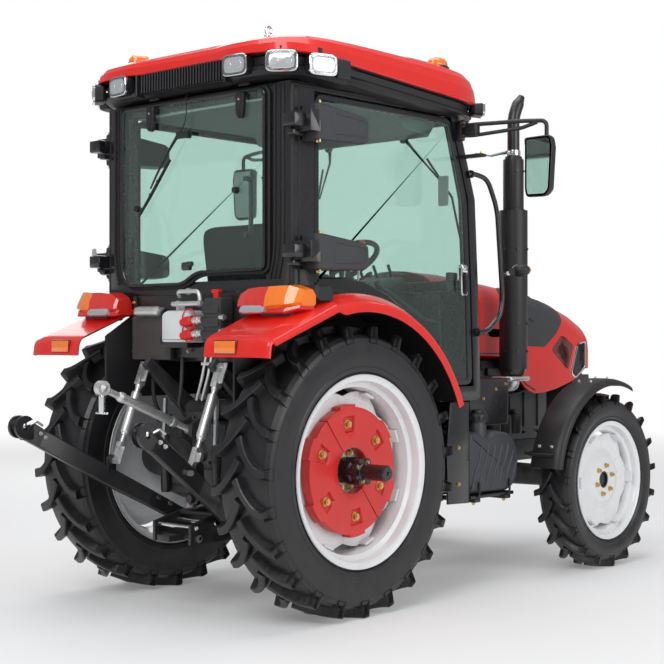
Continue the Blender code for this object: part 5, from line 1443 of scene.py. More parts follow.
def buildMirror(side):
    sign = sides[side]
    bm = bmesh.new()
    face = roundCorners([Vector(p) for p in ((0.940, 2.175), (0.936, 2.215), (1.092, 2.218), (1.102, 2.160), (1.088, 1.950),
                                             (1.060, 1.922), (0.950, 1.924), (0.940, 1.960))], 0.030, 4)
    rings = []
    for x, inset in ((0.992, 0.012), (0.990, 0.006), (0.992, 0.001), (1.002, 0.0), (1.024, 0.004), (1.042, 0.014),
                     (1.052, 0.032)):
        rings.append([at(x, sign * p.x, p.y) for p in insetOutline(face, inset)])
    loft(bm, rings)
    spots = ((0.872, 0.650, 2.285), (0.900, 0.700, 2.292), (0.985, 0.930, 2.296), (1.022, 1.030, 2.292),
             (1.024, 1.046, 2.275), (1.024, 1.046, 2.205))
    pipe(bm, bend([at(x, sign * y, z) for x, y, z in spots], 0.02), 0.0105, 10)
    spots = ((0.872, 0.650, 2.238), (0.900, 0.700, 2.238), (0.985, 0.930, 2.262), (1.010, 1.000, 2.286))
    pipe(bm, bend([at(x, sign * y, z) for x, y, z in spots], 0.02), 0.0095, 10)
    low, high = sorted((sign * 0.650, sign * 0.735))
    box(bm, at(0.872, low, 2.234), at(0.912, high, 2.294), 0.008, 2)
    low, high = sorted((sign * 0.618, sign * 0.652))
    box(bm, at(0.862, low, 2.215), at(0.900, high, 2.312), 0.006, 2)
    low, high = sorted((sign * 0.618, sign * 0.760))
    box(bm, at(0.880, low, 2.130), at(0.930, high, 2.146), 0.006, 2)
    makePiece(f"mirror_case_{side}", bm, mouldedBlack, "chassis", [f"mirror_{side}"], 34.0)
    bm = bmesh.new()
    glass = insetOutline(face, 0.014)
    loft(bm, [[at(x, sign * p.x, p.y) for p in glass] for x in (0.9915, 0.9885)])
    makePiece(f"mirror_glass_{side}", bm, mirrorFace, "chassis")
    bm = bmesh.new()
    for z in (2.226, 2.302):
        bolt(bm, at(0.880, sign * 0.6525, z), (0, sign, 0), 0.012)
    bolt(bm, at(0.905, sign * 0.745, 2.147), (0, 0, 1), 0.012)
    makePiece(f"mirror_bolts_{side}", bm, goldPlate, "chassis")


def buildRail(side):
    sign = sides[side]
    bm = bmesh.new()
    spots = ((0.962, 0.622, 2.060), (1.000, 0.640, 2.060), (1.100, 0.640, 2.045), (1.180, 0.642, 1.900),
             (1.228, 0.642, 1.440), (1.205, 0.640, 1.352), (1.100, 0.634, 1.270), (1.012, 0.622, 1.270))
    pipe(bm, bend([at(x, sign * y, z) for x, y, z in spots], 0.06, 6), 0.0125, 14)
    for x, z in ((0.975, 2.060), (1.030, 1.270)):
        disc(bm, at(x, sign * 0.630, z), (1, 0, 0), 0.020, 0.012, 18)
    pipe(bm, [at(1.215, sign * 0.642, 1.560), at(1.250, sign * 0.680, 1.575)], 0.008, 10)
    makePiece(f"rail_{side}", bm, frameBlack, "chassis", [f"grab_rail_{side}"], 40.0)
    bm = bmesh.new()  # egg-shaped turn lamp, its amber glass in front
    centre = at(1.285, sign * 0.715, 1.588)
    shape = Matrix.Translation(centre) @ Matrix.Diagonal((0.046, 0.050, 0.034, 1.0))
    bmesh.ops.create_uvsphere(bm, u_segments=28, v_segments=18, radius=1.0, matrix=shape)
    disc(bm, at(1.246, sign * 0.690, 1.580), (1, -sign * 0.6, 0), 0.018, 0.030, 16)
    makePiece(f"turn_case_{side}", bm, mouldedBlack, "chassis", angle=60.0)
    bm = bmesh.new()
    shape = Matrix.Translation(centre + Vector((0.014, sign * 0.004, 0))) @ Matrix.Diagonal((0.038, 0.043, 0.029, 1.0))
    bmesh.ops.create_uvsphere(bm, u_segments=24, v_segments=16, radius=1.0, matrix=shape)
    makePiece(f"turn_glass_{side}", bm, amberLens, "chassis", angle=60.0)
    bm = bmesh.new()
    disc(bm, at(1.238, sign * 0.672, 1.572), (1, -sign * 0.6, 0), 0.011, 0.012, 12)
    makePiece(f"turn_screws_{side}", bm, zincPlate, "chassis")


buildTank()
buildExhaust()
for side in sides:
    buildMirror(side)
    buildRail(side)
lowLamp = (bmesh.new(), bmesh.new(), bmesh.new())
workLamp(*lowLamp, at(-0.330, 0.700, 1.655), Vector((-1, 0.15, 0)), 0.105, 0.060)
pipe(lowLamp[0], bend([at(-0.300, 0.700, 1.625), at(-0.300, 0.700, 1.560), at(-0.290, 0.622, 1.560)], 0.02), 0.009, 10)
for kind, bm, material in zip(("shell", "glass", "bezel"), lowLamp, (mouldedBlack, clearLens, brightChrome)):
    makePiece(f"low_lamp_{kind}", bm, material, "chassis")
print("tank, exhaust, mirrors and rails built")


# rear wall and linkage
def bar(bm, start, end, width, height, chamfer=0.003, upward=(0, 0, 1)):  # a square bar between two points
    a, b = Vector(start), Vector(end)
    along = (b - a).normalized()
    across = along.cross(Vector(upward)).normalized()
    rise = across.cross(along)
    turn = Matrix((along, across, rise)).transposed()
    half = Vector(((b - a).length, width, height)) / 2
    centre = (a + b) / 2
    box(bm, centre - half, centre + half, chamfer, 2, turn)


def spinner(bm, start, end, profile, sides=20):  # turned shape: (share along, radius) from start to end
    a, b = Vector(start), Vector(end)
    pipe(bm, [a.lerp(b, share) for share, _ in profile], [max(radius, 0.0005) for _, radius in profile], sides)


def clevis(bm, pin, way, half, reach, wide):  # two cheeks round a pin that lies across the tractor
    along = Vector(way).normalized()
    spot = Vector(pin)
    for sign in (-1, 1):
        shift = Vector((0, sign * (half - 0.004), 0))
        bar(bm, spot + shift - along * 0.018, spot + shift + along * reach, 0.008, wide, 0.003, (0, 1, 0))
    bar(bm, spot + along * (reach - 0.006), spot + along * (reach + 0.020), half * 2, wide * 0.9, 0.004, (0, 1, 0))


def buildRearWall():
    bm = bmesh.new()
    x = -0.322
    box(bm, at(-0.334, -0.400, 1.150), at(x, 0.400, 1.440), 0.004)
    for y in (-0.385, 0.385):
        box(bm, at(-0.345, y - 0.012, 1.160), at(-0.333, y + 0.012, 1.440), 0.004)
    box(bm, at(-0.420, -0.072, 1.196), at(-0.334, 0.112, 1.214), 0.004)
    box(bm, at(-0.424, -0.076, 1.196), at(-0.418, 0.112, 1.250), 0.003)
    box(bm, at(-0.358, 0.100, 1.140), at(-0.334, 0.120, 1.345), 0.004)
    makePiece("rear_panel_plate", bm, chassisBlack, "chassis", ["rear_panel"])
    bm = bmesh.new()
    slab(bm, [(p.x, p.y) for p in roundCorners([Vector(q) for q in ((0.104, 1.140), (0.376, 1.140), (0.376, 1.344),
                                                                      (0.104, 1.344))], 0.012, 3)],
         "X", rearAxle.x - 0.366, rearAxle.x - 0.360)
    makePiece("number_board", bm, boardGrey, "chassis", angle=40.0)
    bm = bmesh.new()
    spinner(bm, at(-0.385, 0.150, 1.366), at(-0.385, 0.330, 1.366),
            ((0, 0.006), (0.04, 0.020), (0.12, 0.024), (0.88, 0.024), (0.96, 0.020), (1, 0.006)), 16)
    box(bm, at(-0.405, 0.160, 1.368), at(-0.350, 0.320, 1.384), 0.005)
    makePiece("board_lamp", bm, zincPlate, "chassis")
    bm = bmesh.new()
    outline = roundCorners([Vector(p) for p in ((-0.100, 1.220), (0.092, 1.220), (0.092, 1.350), (0.066, 1.366),
                                                (-0.086, 1.366), (-0.100, 1.350))], 0.014, 4)
    loft(bm, [[at(px, p.x, p.y) for p in insetOutline(outline, inset)] for px, inset in
              ((-0.337, 0.010), (-0.340, 0.002), (-0.345, 0.0), (-0.420, 0.0), (-0.430, 0.004), (-0.434, 0.014))])
    lathe(bm, ((0.0, 1.362), (0.020, 1.362), (0.021, 1.366), (0.021, 1.384), (0.018, 1.388), (0.0, 1.389)),
          at(-0.386, 0.010, 0.0), 20)
    makePiece("washer_tank", bm, bottleWhite, "chassis", angle=40.0)

    block, zinc, red = bmesh.new(), bmesh.new(), bmesh.new()  # hydraulic outlets
    box(block, at(-0.420, -0.290, 1.200), at(-0.340, -0.180, 1.420), 0.008)
    for z in (1.250, 1.310, 1.370):
        box(block, at(-0.428, -0.282, z - 0.020), at(-0.338, -0.172, z + 0.020), 0.006)
    for z in (1.262, 1.322):
        spinner(zinc, at(-0.420, -0.172, z), at(-0.428, -0.098, z - 0.006),
                ((0, 0.016), (0.25, 0.016), (0.27, 0.021), (0.55, 0.021), (0.57, 0.017), (1, 0.017)), 16)
        spinner(red, at(-0.428, -0.118, z - 0.004), at(-0.436, -0.048, z - 0.012),
                ((0, 0.021), (0.1, 0.024), (0.6, 0.024), (0.65, 0.018), (0.95, 0.016), (1, 0.008)), 16)
        hoop(red, at(-0.440, -0.105, z + 0.006), (1, 0, 0), 0.044, 0.0028, 28, 6)
    box(red, at(-0.412, -0.262, 1.392), at(-0.392, -0.232, 1.446), 0.006)
    box(red, at(-0.416, -0.270, 1.440), at(-0.388, -0.224, 1.458), 0.006)
    for points, radius in ((((-0.43, -0.172, 1.396), (-0.43, 0.020, 1.396), (-0.40, 0.034, 1.396)), 0.011),
                           (((-0.42, -0.160, 1.400), (-0.42, -0.150, 1.452), (-0.42, -0.010, 1.452), (-0.40, 0.002, 1.430)), 0.010),
                           (((-0.40, -0.190, 1.210), (-0.40, -0.150, 1.060), (-0.36, -0.070, 0.960)), 0.0075),
                           (((-0.40, -0.225, 1.205), (-0.40, -0.190, 1.070), (-0.36, -0.105, 0.960)), 0.0075),
                           (((-0.41, -0.285, 1.270), (-0.40, -0.322, 1.262), (-0.37, -0.330, 1.180)), 0.008)):
        pipe(zinc, bend([at(*p) for p in points], 0.024, 5), radius, 12)
    for place, way in (((-0.43, -0.020, 1.396), (0, 1, 0)), ((-0.42, -0.080, 1.452), (0, 1, 0)),
                       ((-0.43, -0.165, 1.396), (0, 1, 0)), ((-0.40, -0.189, 1.190), (0, 0, 1)),
                       ((-0.40, -0.224, 1.186), (0, 0, 1)), ((-0.41, -0.292, 1.270), (0, 1, 0)),
                       ((-0.41, -0.292, 1.332), (0, 1, 0))):
        disc(zinc, at(*place), way, 0.015, 0.018, 6)
        disc(zinc, at(*place), way, 0.012, 0.030, 14)
    box(zinc, at(-0.408, -0.215, 1.118), at(-0.394, -0.150, 1.132), 0.002)
    makePiece("outlet_block", block, castGrey, "chassis", ["coupler_block"])
    makePiece("outlet_fittings", zinc, zincPlate, "chassis")
    makePiece("outlet_caps", red, capRed, "chassis")
    bm = bmesh.new()
    for y, z in ((-0.385, 1.180), (-0.385, 1.410), (0.385, 1.180), (0.385, 1.410), (0.000, 1.180), (0.060, 1.204)):
        bolt(bm, at(-0.3465, y, z), (-1, 0, 0), 0.014)
    makePiece("panel_bolts", bm, goldPlate, "chassis")


linkSet = {"pivot": (-0.170, 0.360), "ball": (-0.974, 0.845),
           "stations": ((-0.040, 0.1453, 0.024), (0.000, 0.1453, 0.034), (0.060, 0.150, 0.036), (0.280, 0.212, 0.038),
                        (0.480, 0.2853, 0.042), (0.700, 0.340, 0.042), (0.880, 0.386, 0.042), (0.945, 0.398, 0.044))}


def buildLowerLink(side):
    sign = sides[side]
    start, end = Vector(linkSet["pivot"]), Vector(linkSet["ball"])
    run = end - start
    across = Vector((run.y, -run.x)).normalized()
    if across.y < 0:
        across = -across

    def spot(share, y, rise):
        place = start + run * share + across * rise
        return at(place.x, sign * y, place.y)

    bm = bmesh.new()
    rings = []
    for share, inner, half in linkSet["stations"]:
        wide, cut = 0.034, 0.006
        rings.append([spot(share, y, z) for y, z in (
            (inner, -half + cut), (inner + cut, -half), (inner + wide - cut, -half), (inner + wide, -half + cut),
            (inner + wide, half - cut), (inner + wide - cut, half), (inner + cut, half), (inner, half - cut))])
    loft(bm, rings)
    body = f"link_{side}"
    # open claw at the end: two cheeks and a hooked lip
    for low, high in ((0.388, 0.404), (0.434, 0.450)):
        outline = []
        for degrees in range(200, 520, 20):
            turn = math.radians(degrees)
            outline.append((math.cos(turn) * 0.052, math.sin(turn) * 0.052))
        outline += [(0.022, 0.008), (0.012, -0.012), (-0.012, -0.012), (-0.022, 0.010)]
        rings = [[spot(0.995, y, 0) + Vector((-p * 1.0, 0, q)) for p, q in outline] for y in (low, high)]
        loft(bm, rings)
    box(bm, spot(0.955, 0.392, 0) - Vector((0.030, 0.0, 0.040)) + Vector((0, min(0, sign * 0.05), 0)),
        spot(0.955, 0.392, 0) + Vector((0.020, 0.0, -0.004)) + Vector((0, max(0, sign * 0.05), 0)), 0.006)
    foot = at(-0.557, 0, 0.678)
    disc(bm, foot + Vector((0, sign * 0.294, 0)), (0, 1, 0), 0.024, 0.026, 20)
    bar(bm, foot + Vector((0, sign * 0.298, 0.010)), foot + Vector((0, sign * 0.302, -0.080)), 0.050, 0.016, 0.003, (0, 1, 0))
    disc(bm, at(-0.170, sign * 0.166, 0.360), (0, 1, 0), 0.040, 0.044, 24)
    makePiece(f"link_arm_{side}", bm, chassisBlack, body, [f"lower_link_{side}"], 34.0)
    bm = bmesh.new()
    shape = Matrix.Translation(at(-0.974, sign * 0.419, 0.850)) @ Matrix.Diagonal((0.030, 0.024, 0.030, 1.0))
    bmesh.ops.create_uvsphere(bm, u_segments=24, v_segments=16, radius=1.0, matrix=shape)
    spinner(bm, at(-0.974, sign * 0.384, 0.850), at(-0.974, sign * 0.452, 0.850),
            ((0, 0.008), (0.03, 0.011), (0.97, 0.011), (1, 0.008)), 16)
    makePiece(f"link_ball_{side}", bm, brightChrome, body, angle=50.0)
    bm = bmesh.new()  # latch, spring and pins
    pipe(bm, bend([spot(0.955, 0.420, 0.030), spot(0.930, 0.420, 0.062), spot(0.890, 0.420, 0.060)], 0.01), 0.006, 10)
    for share, rise in ((0.905, 0.014), (0.870, 0.012)):
        for edge in (0.384, 0.428):
            bolt(bm, spot(share, edge if edge > 0.4 else 0.386, rise), (0, sign if edge > 0.4 else -sign, 0), 0.016)
    disc(bm, spot(0.620, 0.354, 0.004), (0, 1, 0), 0.012, 0.044, 16)
    makePiece(f"link_latch_{side}", bm, zincPlate, body)


def buildRods():
    for side, sign in sides.items():
        top, foot = at(-0.386, sign * 0.2603, 1.113), at(-0.557, sign * 0.2603, 0.678)
        way = (foot - top).normalized()
        bm = bmesh.new()
        clevis(bm, top, way, 0.0195, 0.080, 0.042)
        clevis(bm, foot, -way, 0.0195, 0.066, 0.038)
        first, last = top + way * 0.094, foot - way * 0.080
        spinner(bm, first, last, ((0, 0.017), (0.05, 0.017), (0.07, 0.014), (0.13, 0.014), (0.14, 0.0215), (0.16, 0.024),
                                  (0.80, 0.024), (0.82, 0.0215), (0.83, 0.019), (0.86, 0.019), (0.87, 0.013), (1, 0.013)), 20)
        for spot in (top, foot):
            spinner(bm, spot - Vector((0, 0.0205, 0)), spot + Vector((0, 0.0205, 0)), ((0, 0.010), (1, 0.010)), 14)
        makePiece(f"rod_{side}", bm, zincPlate, f"rod_{side}", [f"lift_rod_{side}"], 34.0)


def buildTopLink():
    start, end = at(-0.340, 0, 0.818), at(-0.850, 0, 1.023)
    bm = bmesh.new()
    disc(bm, start, (0, 1, 0), 0.020, 0.040, 24)
    disc(bm, end, (0, 1, 0), 0.032, 0.034, 28)
    shape = Matrix.Translation(end) @ Matrix.Diagonal((0.025, 0.025, 0.025, 1.0))
    bmesh.ops.create_uvsphere(bm, u_segments=24, v_segments=16, radius=1.0, matrix=shape)
    threads = []
    for k in range(14):
        threads += [(0.035 + k * 0.009, 0.0125 if k % 2 else 0.0145)]
    spinner(bm, start, end, [(0.02, 0.013)] + threads + [(0.17, 0.020), (0.19, 0.0235), (0.22, 0.0235), (0.23, 0.0205),
            (0.76, 0.0205), (0.77, 0.0235), (0.80, 0.0235), (0.82, 0.019), (0.83, 0.015), (0.93, 0.015), (0.95, 0.019), (0.965, 0.012)], 20)
    makePiece("upper_link_body", bm, zincPlate, "upper_link", ["top_link"], 30.0)
    bm = bmesh.new()  # pin that hangs from the eye, with its handle
    spinner(bm, at(-0.850, 0, 0.996), at(-0.850, 0, 0.912), ((0, 0.012), (0.1, 0.014), (0.9, 0.014), (1, 0.012)), 16)
    spinner(bm, at(-0.850, -0.042, 0.914), at(-0.850, 0.042, 0.914), ((0, 0.003), (0.03, 0.005), (0.97, 0.005), (1, 0.003)), 10)
    makePiece("hanging_pin", bm, brightChrome, "upper_link", angle=40.0)


def buildRearFrame():
    softened("lift_arms", castGrey, "rocker", 0.004, 2, "rocker_arms")
    softened("drawbar_frame", chassisBlack, "chassis", 0.003, 2, "drawbar_cheeks")
    bm = bmesh.new()
    for place in ((-0.400, 0.336), (-0.300, 0.396), (-0.420, 0.385)):
        spinner(bm, at(place[0], -0.138, place[1]), at(place[0], 0.138, place[1]),
                ((0, 0.008), (0.01, 0.011), (0.99, 0.011), (1, 0.008)), 16)
    disc(bm, at(-0.405, -0.132, 0.336), (0, -1, 0), 0.018, 0.012, 24)
    disc(bm, at(-0.170, -0.196, 0.360), (0, -1, 0), 0.020, 0.016, 24)
    disc(bm, at(-0.170, 0.196, 0.360), (0, 1, 0), 0.020, 0.016, 24)
    makePiece("drawbar_pins", bm, brightChrome, "chassis", angle=40.0)
    rods, barrels, dark = bmesh.new(), bmesh.new(), bmesh.new()
    for y in (-0.176, 0.176):  # helper cylinders beside the gearbox, held on the frame only
        spinner(rods, at(-0.335, y, 0.960), at(-0.345, y, 0.700), ((0, 0.013), (1, 0.013)), 16)
        spinner(barrels, at(-0.338, y, 0.740), at(-0.330, y, 0.520),
                ((0, 0.014), (0.02, 0.024), (0.08, 0.026), (0.10, 0.023), (0.92, 0.023), (1, 0.020)), 20)
    # cast bracket for the upper link, hoses and small castings behind the gearbox
    for sign in (-1, 1):
        slab(dark, [(rearAxle.x + x, z) for x, z in ((-0.370, 0.790), (-0.366, 0.850), (-0.300, 0.880), (-0.270, 0.720))],
             "Y", sign * 0.030, sign * 0.046, 0.004)
    box(dark, at(-0.300, -0.075, 0.690), at(-0.262, 0.075, 0.900), 0.010)
    box(dark, at(-0.322, -0.150, 0.560), at(-0.290, 0.150, 0.640), 0.012)
    for y, z in ((-0.050, 0.700), (0.110, 0.640), (0.000, 0.600)):
        disc(dark, at(-0.300, y, z), (-1, 0, 0), 0.030, 0.040, 20, 0.024)
    spinner(barrels, at(-0.300, 0.0, 0.500), at(-0.345, 0.0, 0.500), ((0, 0.036), (0.5, 0.036), (0.55, 0.022), (1, 0.019)), 22)
    for points in (((-0.33, -0.120, 1.150), (-0.345, -0.130, 1.020), (-0.330, -0.110, 0.930), (-0.300, -0.120, 0.900)),
                   ((-0.33, 0.060, 1.150), (-0.345, 0.050, 1.020), (-0.335, 0.080, 0.930), (-0.300, 0.090, 0.900)),
                   ((-0.33, 0.230, 1.150), (-0.340, 0.260, 1.040), (-0.310, 0.280, 0.930), (-0.240, 0.300, 0.860))):
        pipe(dark, bend([at(*p) for p in points], 0.04, 5), 0.0095, 12)
    makePiece("helper_rods", rods, brightChrome, "chassis")
    makePiece("helper_barrels", barrels, chassisBlack, "chassis")
    makePiece("rear_castings", dark, castGrey, "chassis")
    bm = bmesh.new()  # side stay between the right link and the axle
    for side, sign in sides.items():
        start, end = at(-0.150, sign * 0.420, 0.452), at(-0.300, sign * 0.262, 0.470)
        spinner(bm, start, end, ((0, 0.012), (0.08, 0.012), (0.10, 0.020), (0.60, 0.020), (0.62, 0.013), (1, 0.011)), 18)
    makePiece("side_stays", bm, zincPlate, "chassis")


buildRearWall()
for side in sides:
    buildLowerLink(side)
buildRods()
buildTopLink()
buildRearFrame()
print("rear wall and linkage built")


# drive line and front axle
def buildDriveLine():
    softened("transmission", castGrey, "chassis", 0.008, 3, "gearbox")
    softened("engine_block", castGrey, "chassis", 0.010, 3, "engine")
    softened("front_frame", tankGrey, "chassis", 0.006, 2, "front_bolster")
    softened("front_axle", castGrey, "chassis", 0.008, 3, "axle_beam")
    softened("cab_tub", frameBlack, "chassis", 0.006, 2, "cab_floor")
    for side in sides:
        softened(f"knuckle_{side}", castGrey, f"steering_{side}", 0.006, 3, f"steering_knuckle_{side}")
    bolts, ribs = bmesh.new(), bmesh.new()
    for y, z in ((-0.16, 0.86), (-0.08, 0.88), (0.16, 0.86), (0.08, 0.88), (-0.16, 0.50), (-0.08, 0.48), (0.08, 0.48), (0.16, 0.50), (-0.18, 0.68),
                 (0.18, 0.68)):
        bolt(bolts, at(-0.382, y, z), (-1, 0, 0), 0.018)
    for x in (0.520, 0.640, 0.760, 0.880, 1.000, 1.180):
        for sign in (-1, 1):
            box(ribs, at(x - 0.006, sign * 0.185 - 0.012, 0.500), at(x + 0.006, sign * 0.185 + 0.012, 0.860), 0.004)
    for x in (1.360, 1.500, 1.640, 1.780, 1.920, 2.060, 2.200):
        for sign in (-1, 1):
            bolt(bolts, at(x, sign * 0.2002, 1.085), (0, sign, 0), 0.018)
            bolt(bolts, at(x, sign * 0.2002, 0.700), (0, sign, 0), 0.016)
            box(ribs, at(x - 0.008, sign * 0.200 - 0.008, 0.730), at(x + 0.008, sign * 0.200 + 0.008, 1.050), 0.004)
    for x in (1.420, 1.580, 1.740, 1.900):
        box(ribs, at(x - 0.060, -0.225, 1.030), at(x + 0.060, -0.198, 1.075), 0.010)
    for k in range(3):  # filters beside the engine
        lathe(ribs, ((0.0, 0.700), (0.034, 0.704), (0.038, 0.712), (0.038, 0.800), (0.032, 0.810), (0.0, 0.812)),
              at(1.700 + 0.100 * k, -0.250, 0.0), 24)
        box(ribs, at(1.680 + 0.100 * k, -0.260, 0.806), at(1.720 + 0.100 * k, -0.198, 0.840), 0.006)
    makePiece("casting_ribs", ribs, castGrey, "chassis")
    makePiece("casting_bolts", bolts, darkSteel, "chassis")
    bm = bmesh.new()
    for sign in (-1, 1):  # hoses from the engine to the front
        pipe(bm, bend([at(1.420, sign * 0.215, 0.950), at(1.600, sign * 0.230, 0.900), at(2.000, sign * 0.215, 0.930),
                       at(2.250, sign * 0.205, 1.020)], 0.10, 5), 0.012, 12)
    makePiece("side_hoses", bm, sealRubber, "chassis")


# inside the cab
def cushion(bm, place, half, crown, grooves, cross, turn):
    # a stuffed block: a fine cube pulled to a rounded form, crowned on top, its sides drawn in
    verts = bmesh.ops.create_cube(bm, size=2.0)["verts"]
    edges = list({edge for vert in verts for edge in vert.link_edges})
    bmesh.ops.subdivide_edges(bm, edges=edges, cuts=27, use_grid_fill=True)
    for vert in bm.verts:
        a, b, c = vert.co
        size = (abs(a) ** 6 + abs(b) ** 6 + abs(c) ** 5) ** (1 / 6)
        x, y, z = a / size, b / size, c / size
        x *= 1.0 - 0.035 * (1.0 - b * b)
        y *= 1.0 - 0.030 * (1.0 - a * a)
        spot = Vector((x * half[0], y * half[1], z * half[2]))
        if c > 0:
            spot.z += crown * (1 - a * a) * (1 - b * b) * c
            dip = sum(math.exp(-((b - line) / 0.035) ** 2) for line in grooves)
            dip += sum(math.exp(-((a - line) / 0.035) ** 2) for line in cross)
            spot.z -= min(dip, 1.2) * 0.009 * max(0.0, 1 - max(abs(a), abs(b)) ** 8) * c
        vert.co = Vector(place) + turn @ spot


def buildSeat():
    upright = Matrix.Identity(3)
    bm = bmesh.new()
    cushion(bm, at(0.232, 0, 1.345), (0.248, 0.238, 0.058), 0.016, (-0.5, 0.5), (-0.35, 0.3), upright)
    makePiece("seat_cushion", bm, seatVinyl, "chassis", ["seat"], 70.0)
    bm = bmesh.new()
    turn = Matrix.Rotation(math.radians(82), 3, "Y")
    cushion(bm, at(0.002, 0, 1.590), (0.196, 0.232, 0.052), 0.014, (-0.5, 0.5), (-0.3, 0.25), turn)
    makePiece("seat_backrest", bm, seatVinyl, "chassis", angle=70.0)
    bm = bmesh.new()
    box(bm, at(0.060, -0.180, 1.168), at(0.400, 0.180, 1.286), 0.020, 3)
    for k in range(5):
        box(bm, at(0.055, -0.186, 1.180 + 0.020 * k), at(0.405, 0.186, 1.190 + 0.020 * k), 0.004, 1)
    box(bm, at(-0.030, -0.150, 1.288), at(0.060, 0.150, 1.310), 0.008)
    makePiece("seat_base", bm, mouldedBlack, "chassis")


def buildControls():
    softened("dashboard", mouldedBlack, "chassis", 0.014, 4, "dash_housing")
    lean = math.radians(35)
    axis = Vector((-math.sin(lean), 0.0, math.cos(lean)))
    centre = at(0.708, 0, 1.630)
    bm = bmesh.new()
    hoop(bm, centre, axis, 0.196, 0.0145, 64, 12)
    across = Vector((math.cos(lean), 0.0, math.sin(lean)))
    hub = centre - axis * 0.022
    for y, x in ((0.186, 0.03), (-0.186, 0.03), (0.0, -0.186)):
        end = centre + Vector((0, y, 0)) + across * x
        pipe(bm, [hub, hub.lerp(end, 0.5) - axis * 0.004, end], [0.016, 0.012, 0.010], 12, 0.6)
    spinner(bm, centre - axis * 0.045, centre + axis * 0.002, ((0, 0.034), (0.3, 0.042), (0.8, 0.042), (1, 0.030)), 28)
    spinner(bm, centre - axis * 0.040, centre - axis * 0.200, ((0, 0.026), (1, 0.026)), 20)
    makePiece("steering_rim", bm, mouldedBlack, "chassis", ["steering_wheel"], 40.0)
    bm, knobs, pale = bmesh.new(), bmesh.new(), bmesh.new()
    for sign in (-1, 1):  # side consoles with their levers
        low, high = sorted((sign * 0.300, sign * 0.424))
        box(bm, at(-0.160, low, 1.170), at(0.440, high, 1.420), 0.030, 4)
        box(bm, at(0.000, low + 0.010, 1.415), at(0.400, high - 0.010, 1.450), 0.012, 3)
    for x, y, top, tilt in ((0.330, -0.340, 1.650, 0.030), (0.385, -0.380, 1.690, 0.045), (0.290, -0.390, 1.560, -0.02),
                            (0.240, -0.340, 1.540, 0.02), (0.340, 0.360, 1.600, 0.03)):
        foot, head = at(x, y, 1.440), at(x + tilt, y, top)
        pipe(pale, [foot, foot.lerp(head, 0.5), head], 0.006, 10)
        spinner(knobs if top > 1.640 else bm, head - Vector((0, 0, 0.030)), head + Vector((0, 0, 0.026)),
                ((0, 0.009), (0.3, 0.013), (0.8, 0.016), (0.95, 0.012), (1, 0.004)), 16)
    for k in range(4):
        pipe(bm, [at(0.930, -0.150 + 0.100 * k, 1.560), at(0.900, -0.150 + 0.100 * k, 1.620)], 0.008, 10)
    spinner(bm, at(0.790, 0.045, 1.540), at(0.740, 0.170, 1.570), ((0, 0.007), (0.7, 0.007), (0.75, 0.012), (1, 0.010)), 12)
    spinner(bm, at(0.790, -0.045, 1.540), at(0.740, -0.170, 1.570), ((0, 0.007), (0.7, 0.007), (0.75, 0.012), (1, 0.010)), 12)
    makePiece("cab_consoles", bm, mouldedBlack, "chassis", angle=40.0)
    makePiece("lever_knobs", knobs, orangeKnob, "chassis", angle=50.0)
    makePiece("lever_shafts", pale, zincPlate, "chassis", angle=50.0)
    bm = bmesh.new()  # ribbed mat on the floor
    for k in range(24):
        box(bm, at(0.262 + 0.022 * k, -0.400, 0.948), at(0.274 + 0.022 * k, 0.400, 0.954), 0.002, 1)
    makePiece("floor_ribs", bm, floorMat, "chassis")
    bm = bmesh.new()  # mirror inside the front pillar
    outline = roundCorners([Vector(p) for p in ((-0.560, 1.900), (-0.500, 1.900), (-0.500, 2.050), (-0.560, 2.050))], 0.012, 3)
    loft(bm, [[at(x, p.x, p.y) for p in outline] for x in (0.872, 0.880)])
    # the mirror gets a flat pale colour in place of a mirror finish: a painted reflection
    makePiece("inner_mirror_pale_reflection", bm, bottleWhite, "chassis", angle=40.0)


buildDriveLine()
buildSeat()
buildControls()
print("drive line and cab inside built")


# stage, lamps and camera
stageSet = {"radius": 26.0, "clear": 3.2, "fade": 9.0, "paleness": (0.90, 0.90, 0.905)}


def buildFloor():
    bm = bmesh.new()
    bmesh.ops.create_circle(bm, cap_ends=True, segments=96, radius=stageSet["radius"])
    mesh = bpy.data.meshes.new("floor")
    bm.to_mesh(mesh)
    bm.free()
    floor = bpy.data.objects.new("floor", mesh)
    bpy.context.scene.collection.objects.link(floor)
    material = bpy.data.materials.new("paleFloor")
    material.use_nodes = True
    tree = material.node_tree
    add, link = tree.nodes.new, tree.links.new
    shader = tree.nodes["Principled BSDF"]
    shader.inputs["Base Color"].default_value = (*stageSet["paleness"], 1.0)
    shader.inputs["Roughness"].default_value = 0.8
    shader.inputs["Specular IOR Level"].default_value = 0.1
    white = add("ShaderNodeEmission")
    distance = add("ShaderNodeVectorMath")
    distance.operation = "LENGTH"
    link(add("ShaderNodeTexCoord").outputs["Object"], distance.inputs[0])
    away = mathNode(add, link, "DIVIDE", mathNode(
        add, link, "SUBTRACT", distance.outputs["Value"], stageSet["clear"]), stageSet["fade"], True)
    rays = add("ShaderNodeLightPath")
    seen = mathNode(add, link, "MAXIMUM", rays.outputs["Is Camera Ray"], mathNode(
        add, link, "MAXIMUM", rays.outputs["Is Glossy Ray"], rays.outputs["Is Transmission Ray"]))
    lift = mathNode(add, link, "ADD", mathNode(add, link, "MULTIPLY", away, 0.82), 0.18)
    mix = add("ShaderNodeMixShader")
    link(mathNode(add, link, "MULTIPLY", seen, lift), mix.inputs[0])
    link(shader.outputs[0], mix.inputs[1])
    link(white.outputs[0], mix.inputs[2])
    link(mix.outputs[0], tree.nodes["Material Output"].inputs["Surface"])
    mesh.materials.append(material)


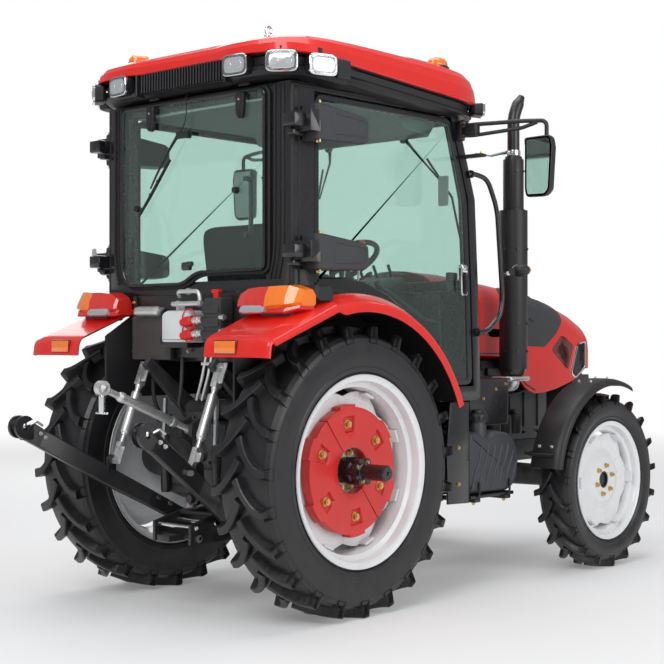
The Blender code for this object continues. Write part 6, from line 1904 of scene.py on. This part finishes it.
def buildWorld():
    world = bpy.data.worlds.new("studio")
    bpy.context.scene.world = world
    world.use_nodes = True
    tree = world.node_tree
    add, link = tree.nodes.new, tree.links.new
    ambient = tree.nodes["Background"]
    ambient.inputs["Color"].default_value = (0.95, 0.97, 1.0, 1.0)
    ambient.inputs["Strength"].default_value = 0.36
    white = add("ShaderNodeBackground")
    white.inputs["Color"].default_value = (1.0, 1.0, 1.0, 1.0)
    rays = add("ShaderNodeLightPath")
    seen = mathNode(add, link, "MAXIMUM", rays.outputs["Is Camera Ray"], rays.outputs["Is Transmission Ray"])
    mix = add("ShaderNodeMixShader")
    link(seen, mix.inputs[0])
    link(ambient.outputs[0], mix.inputs[1])
    link(white.outputs[0], mix.inputs[2])
    link(mix.outputs[0], tree.nodes["World Output"].inputs["Surface"])


lampSet = {
    "keyLamp": {"place": (-5.5, -2.5, 5.6), "size": 4.5, "power": 235.0},
    "fillLamp": {"place": (1.5, -7.5, 3.6), "size": 5.0, "power": 190.0},
    "topLamp": {"place": (0.8, 0.3, 6.6), "size": 5.5, "power": 170.0},
    "backLamp": {"place": (4.5, 5.5, 4.2), "size": 5.0, "power": 120.0},
}


def buildLamps():
    aim = at(0.9, 0.0, 1.1)
    for name, lamp in lampSet.items():
        light = bpy.data.lights.new(name, "AREA")
        light.shape, light.size, light.energy = "DISK", lamp["size"], lamp["power"]
        holder = bpy.data.objects.new(name, light)
        holder.location = at(*lamp["place"])
        holder.visible_camera = holder.visible_transmission = False
        holder.rotation_euler = (aim - holder.location).to_track_quat("-Z", "Y").to_euler()
        bpy.context.scene.collection.objects.link(holder)


cameraSet = {"place": (-4.7503, -4.8787, 1.2364), "yaw": 42.168, "pitch": 0.281, "lens": 77.05}


def buildCamera():
    data = bpy.data.cameras.new("camera")
    data.lens, data.sensor_width, data.clip_end = cameraSet["lens"], 36.0, 200.0
    camera = bpy.data.objects.new("camera", data)
    camera.location = at(*cameraSet["place"])
    camera.rotation_euler = (math.radians(90 + cameraSet["pitch"]), 0.0, math.radians(cameraSet["yaw"] - 90))
    bpy.context.scene.collection.objects.link(camera)
    bpy.context.scene.camera = camera


buildFloor()
buildWorld()
buildLamps()
buildCamera()
bpy.context.scene.view_settings.view_transform = "Standard"
print("stage, lamps and camera placed")
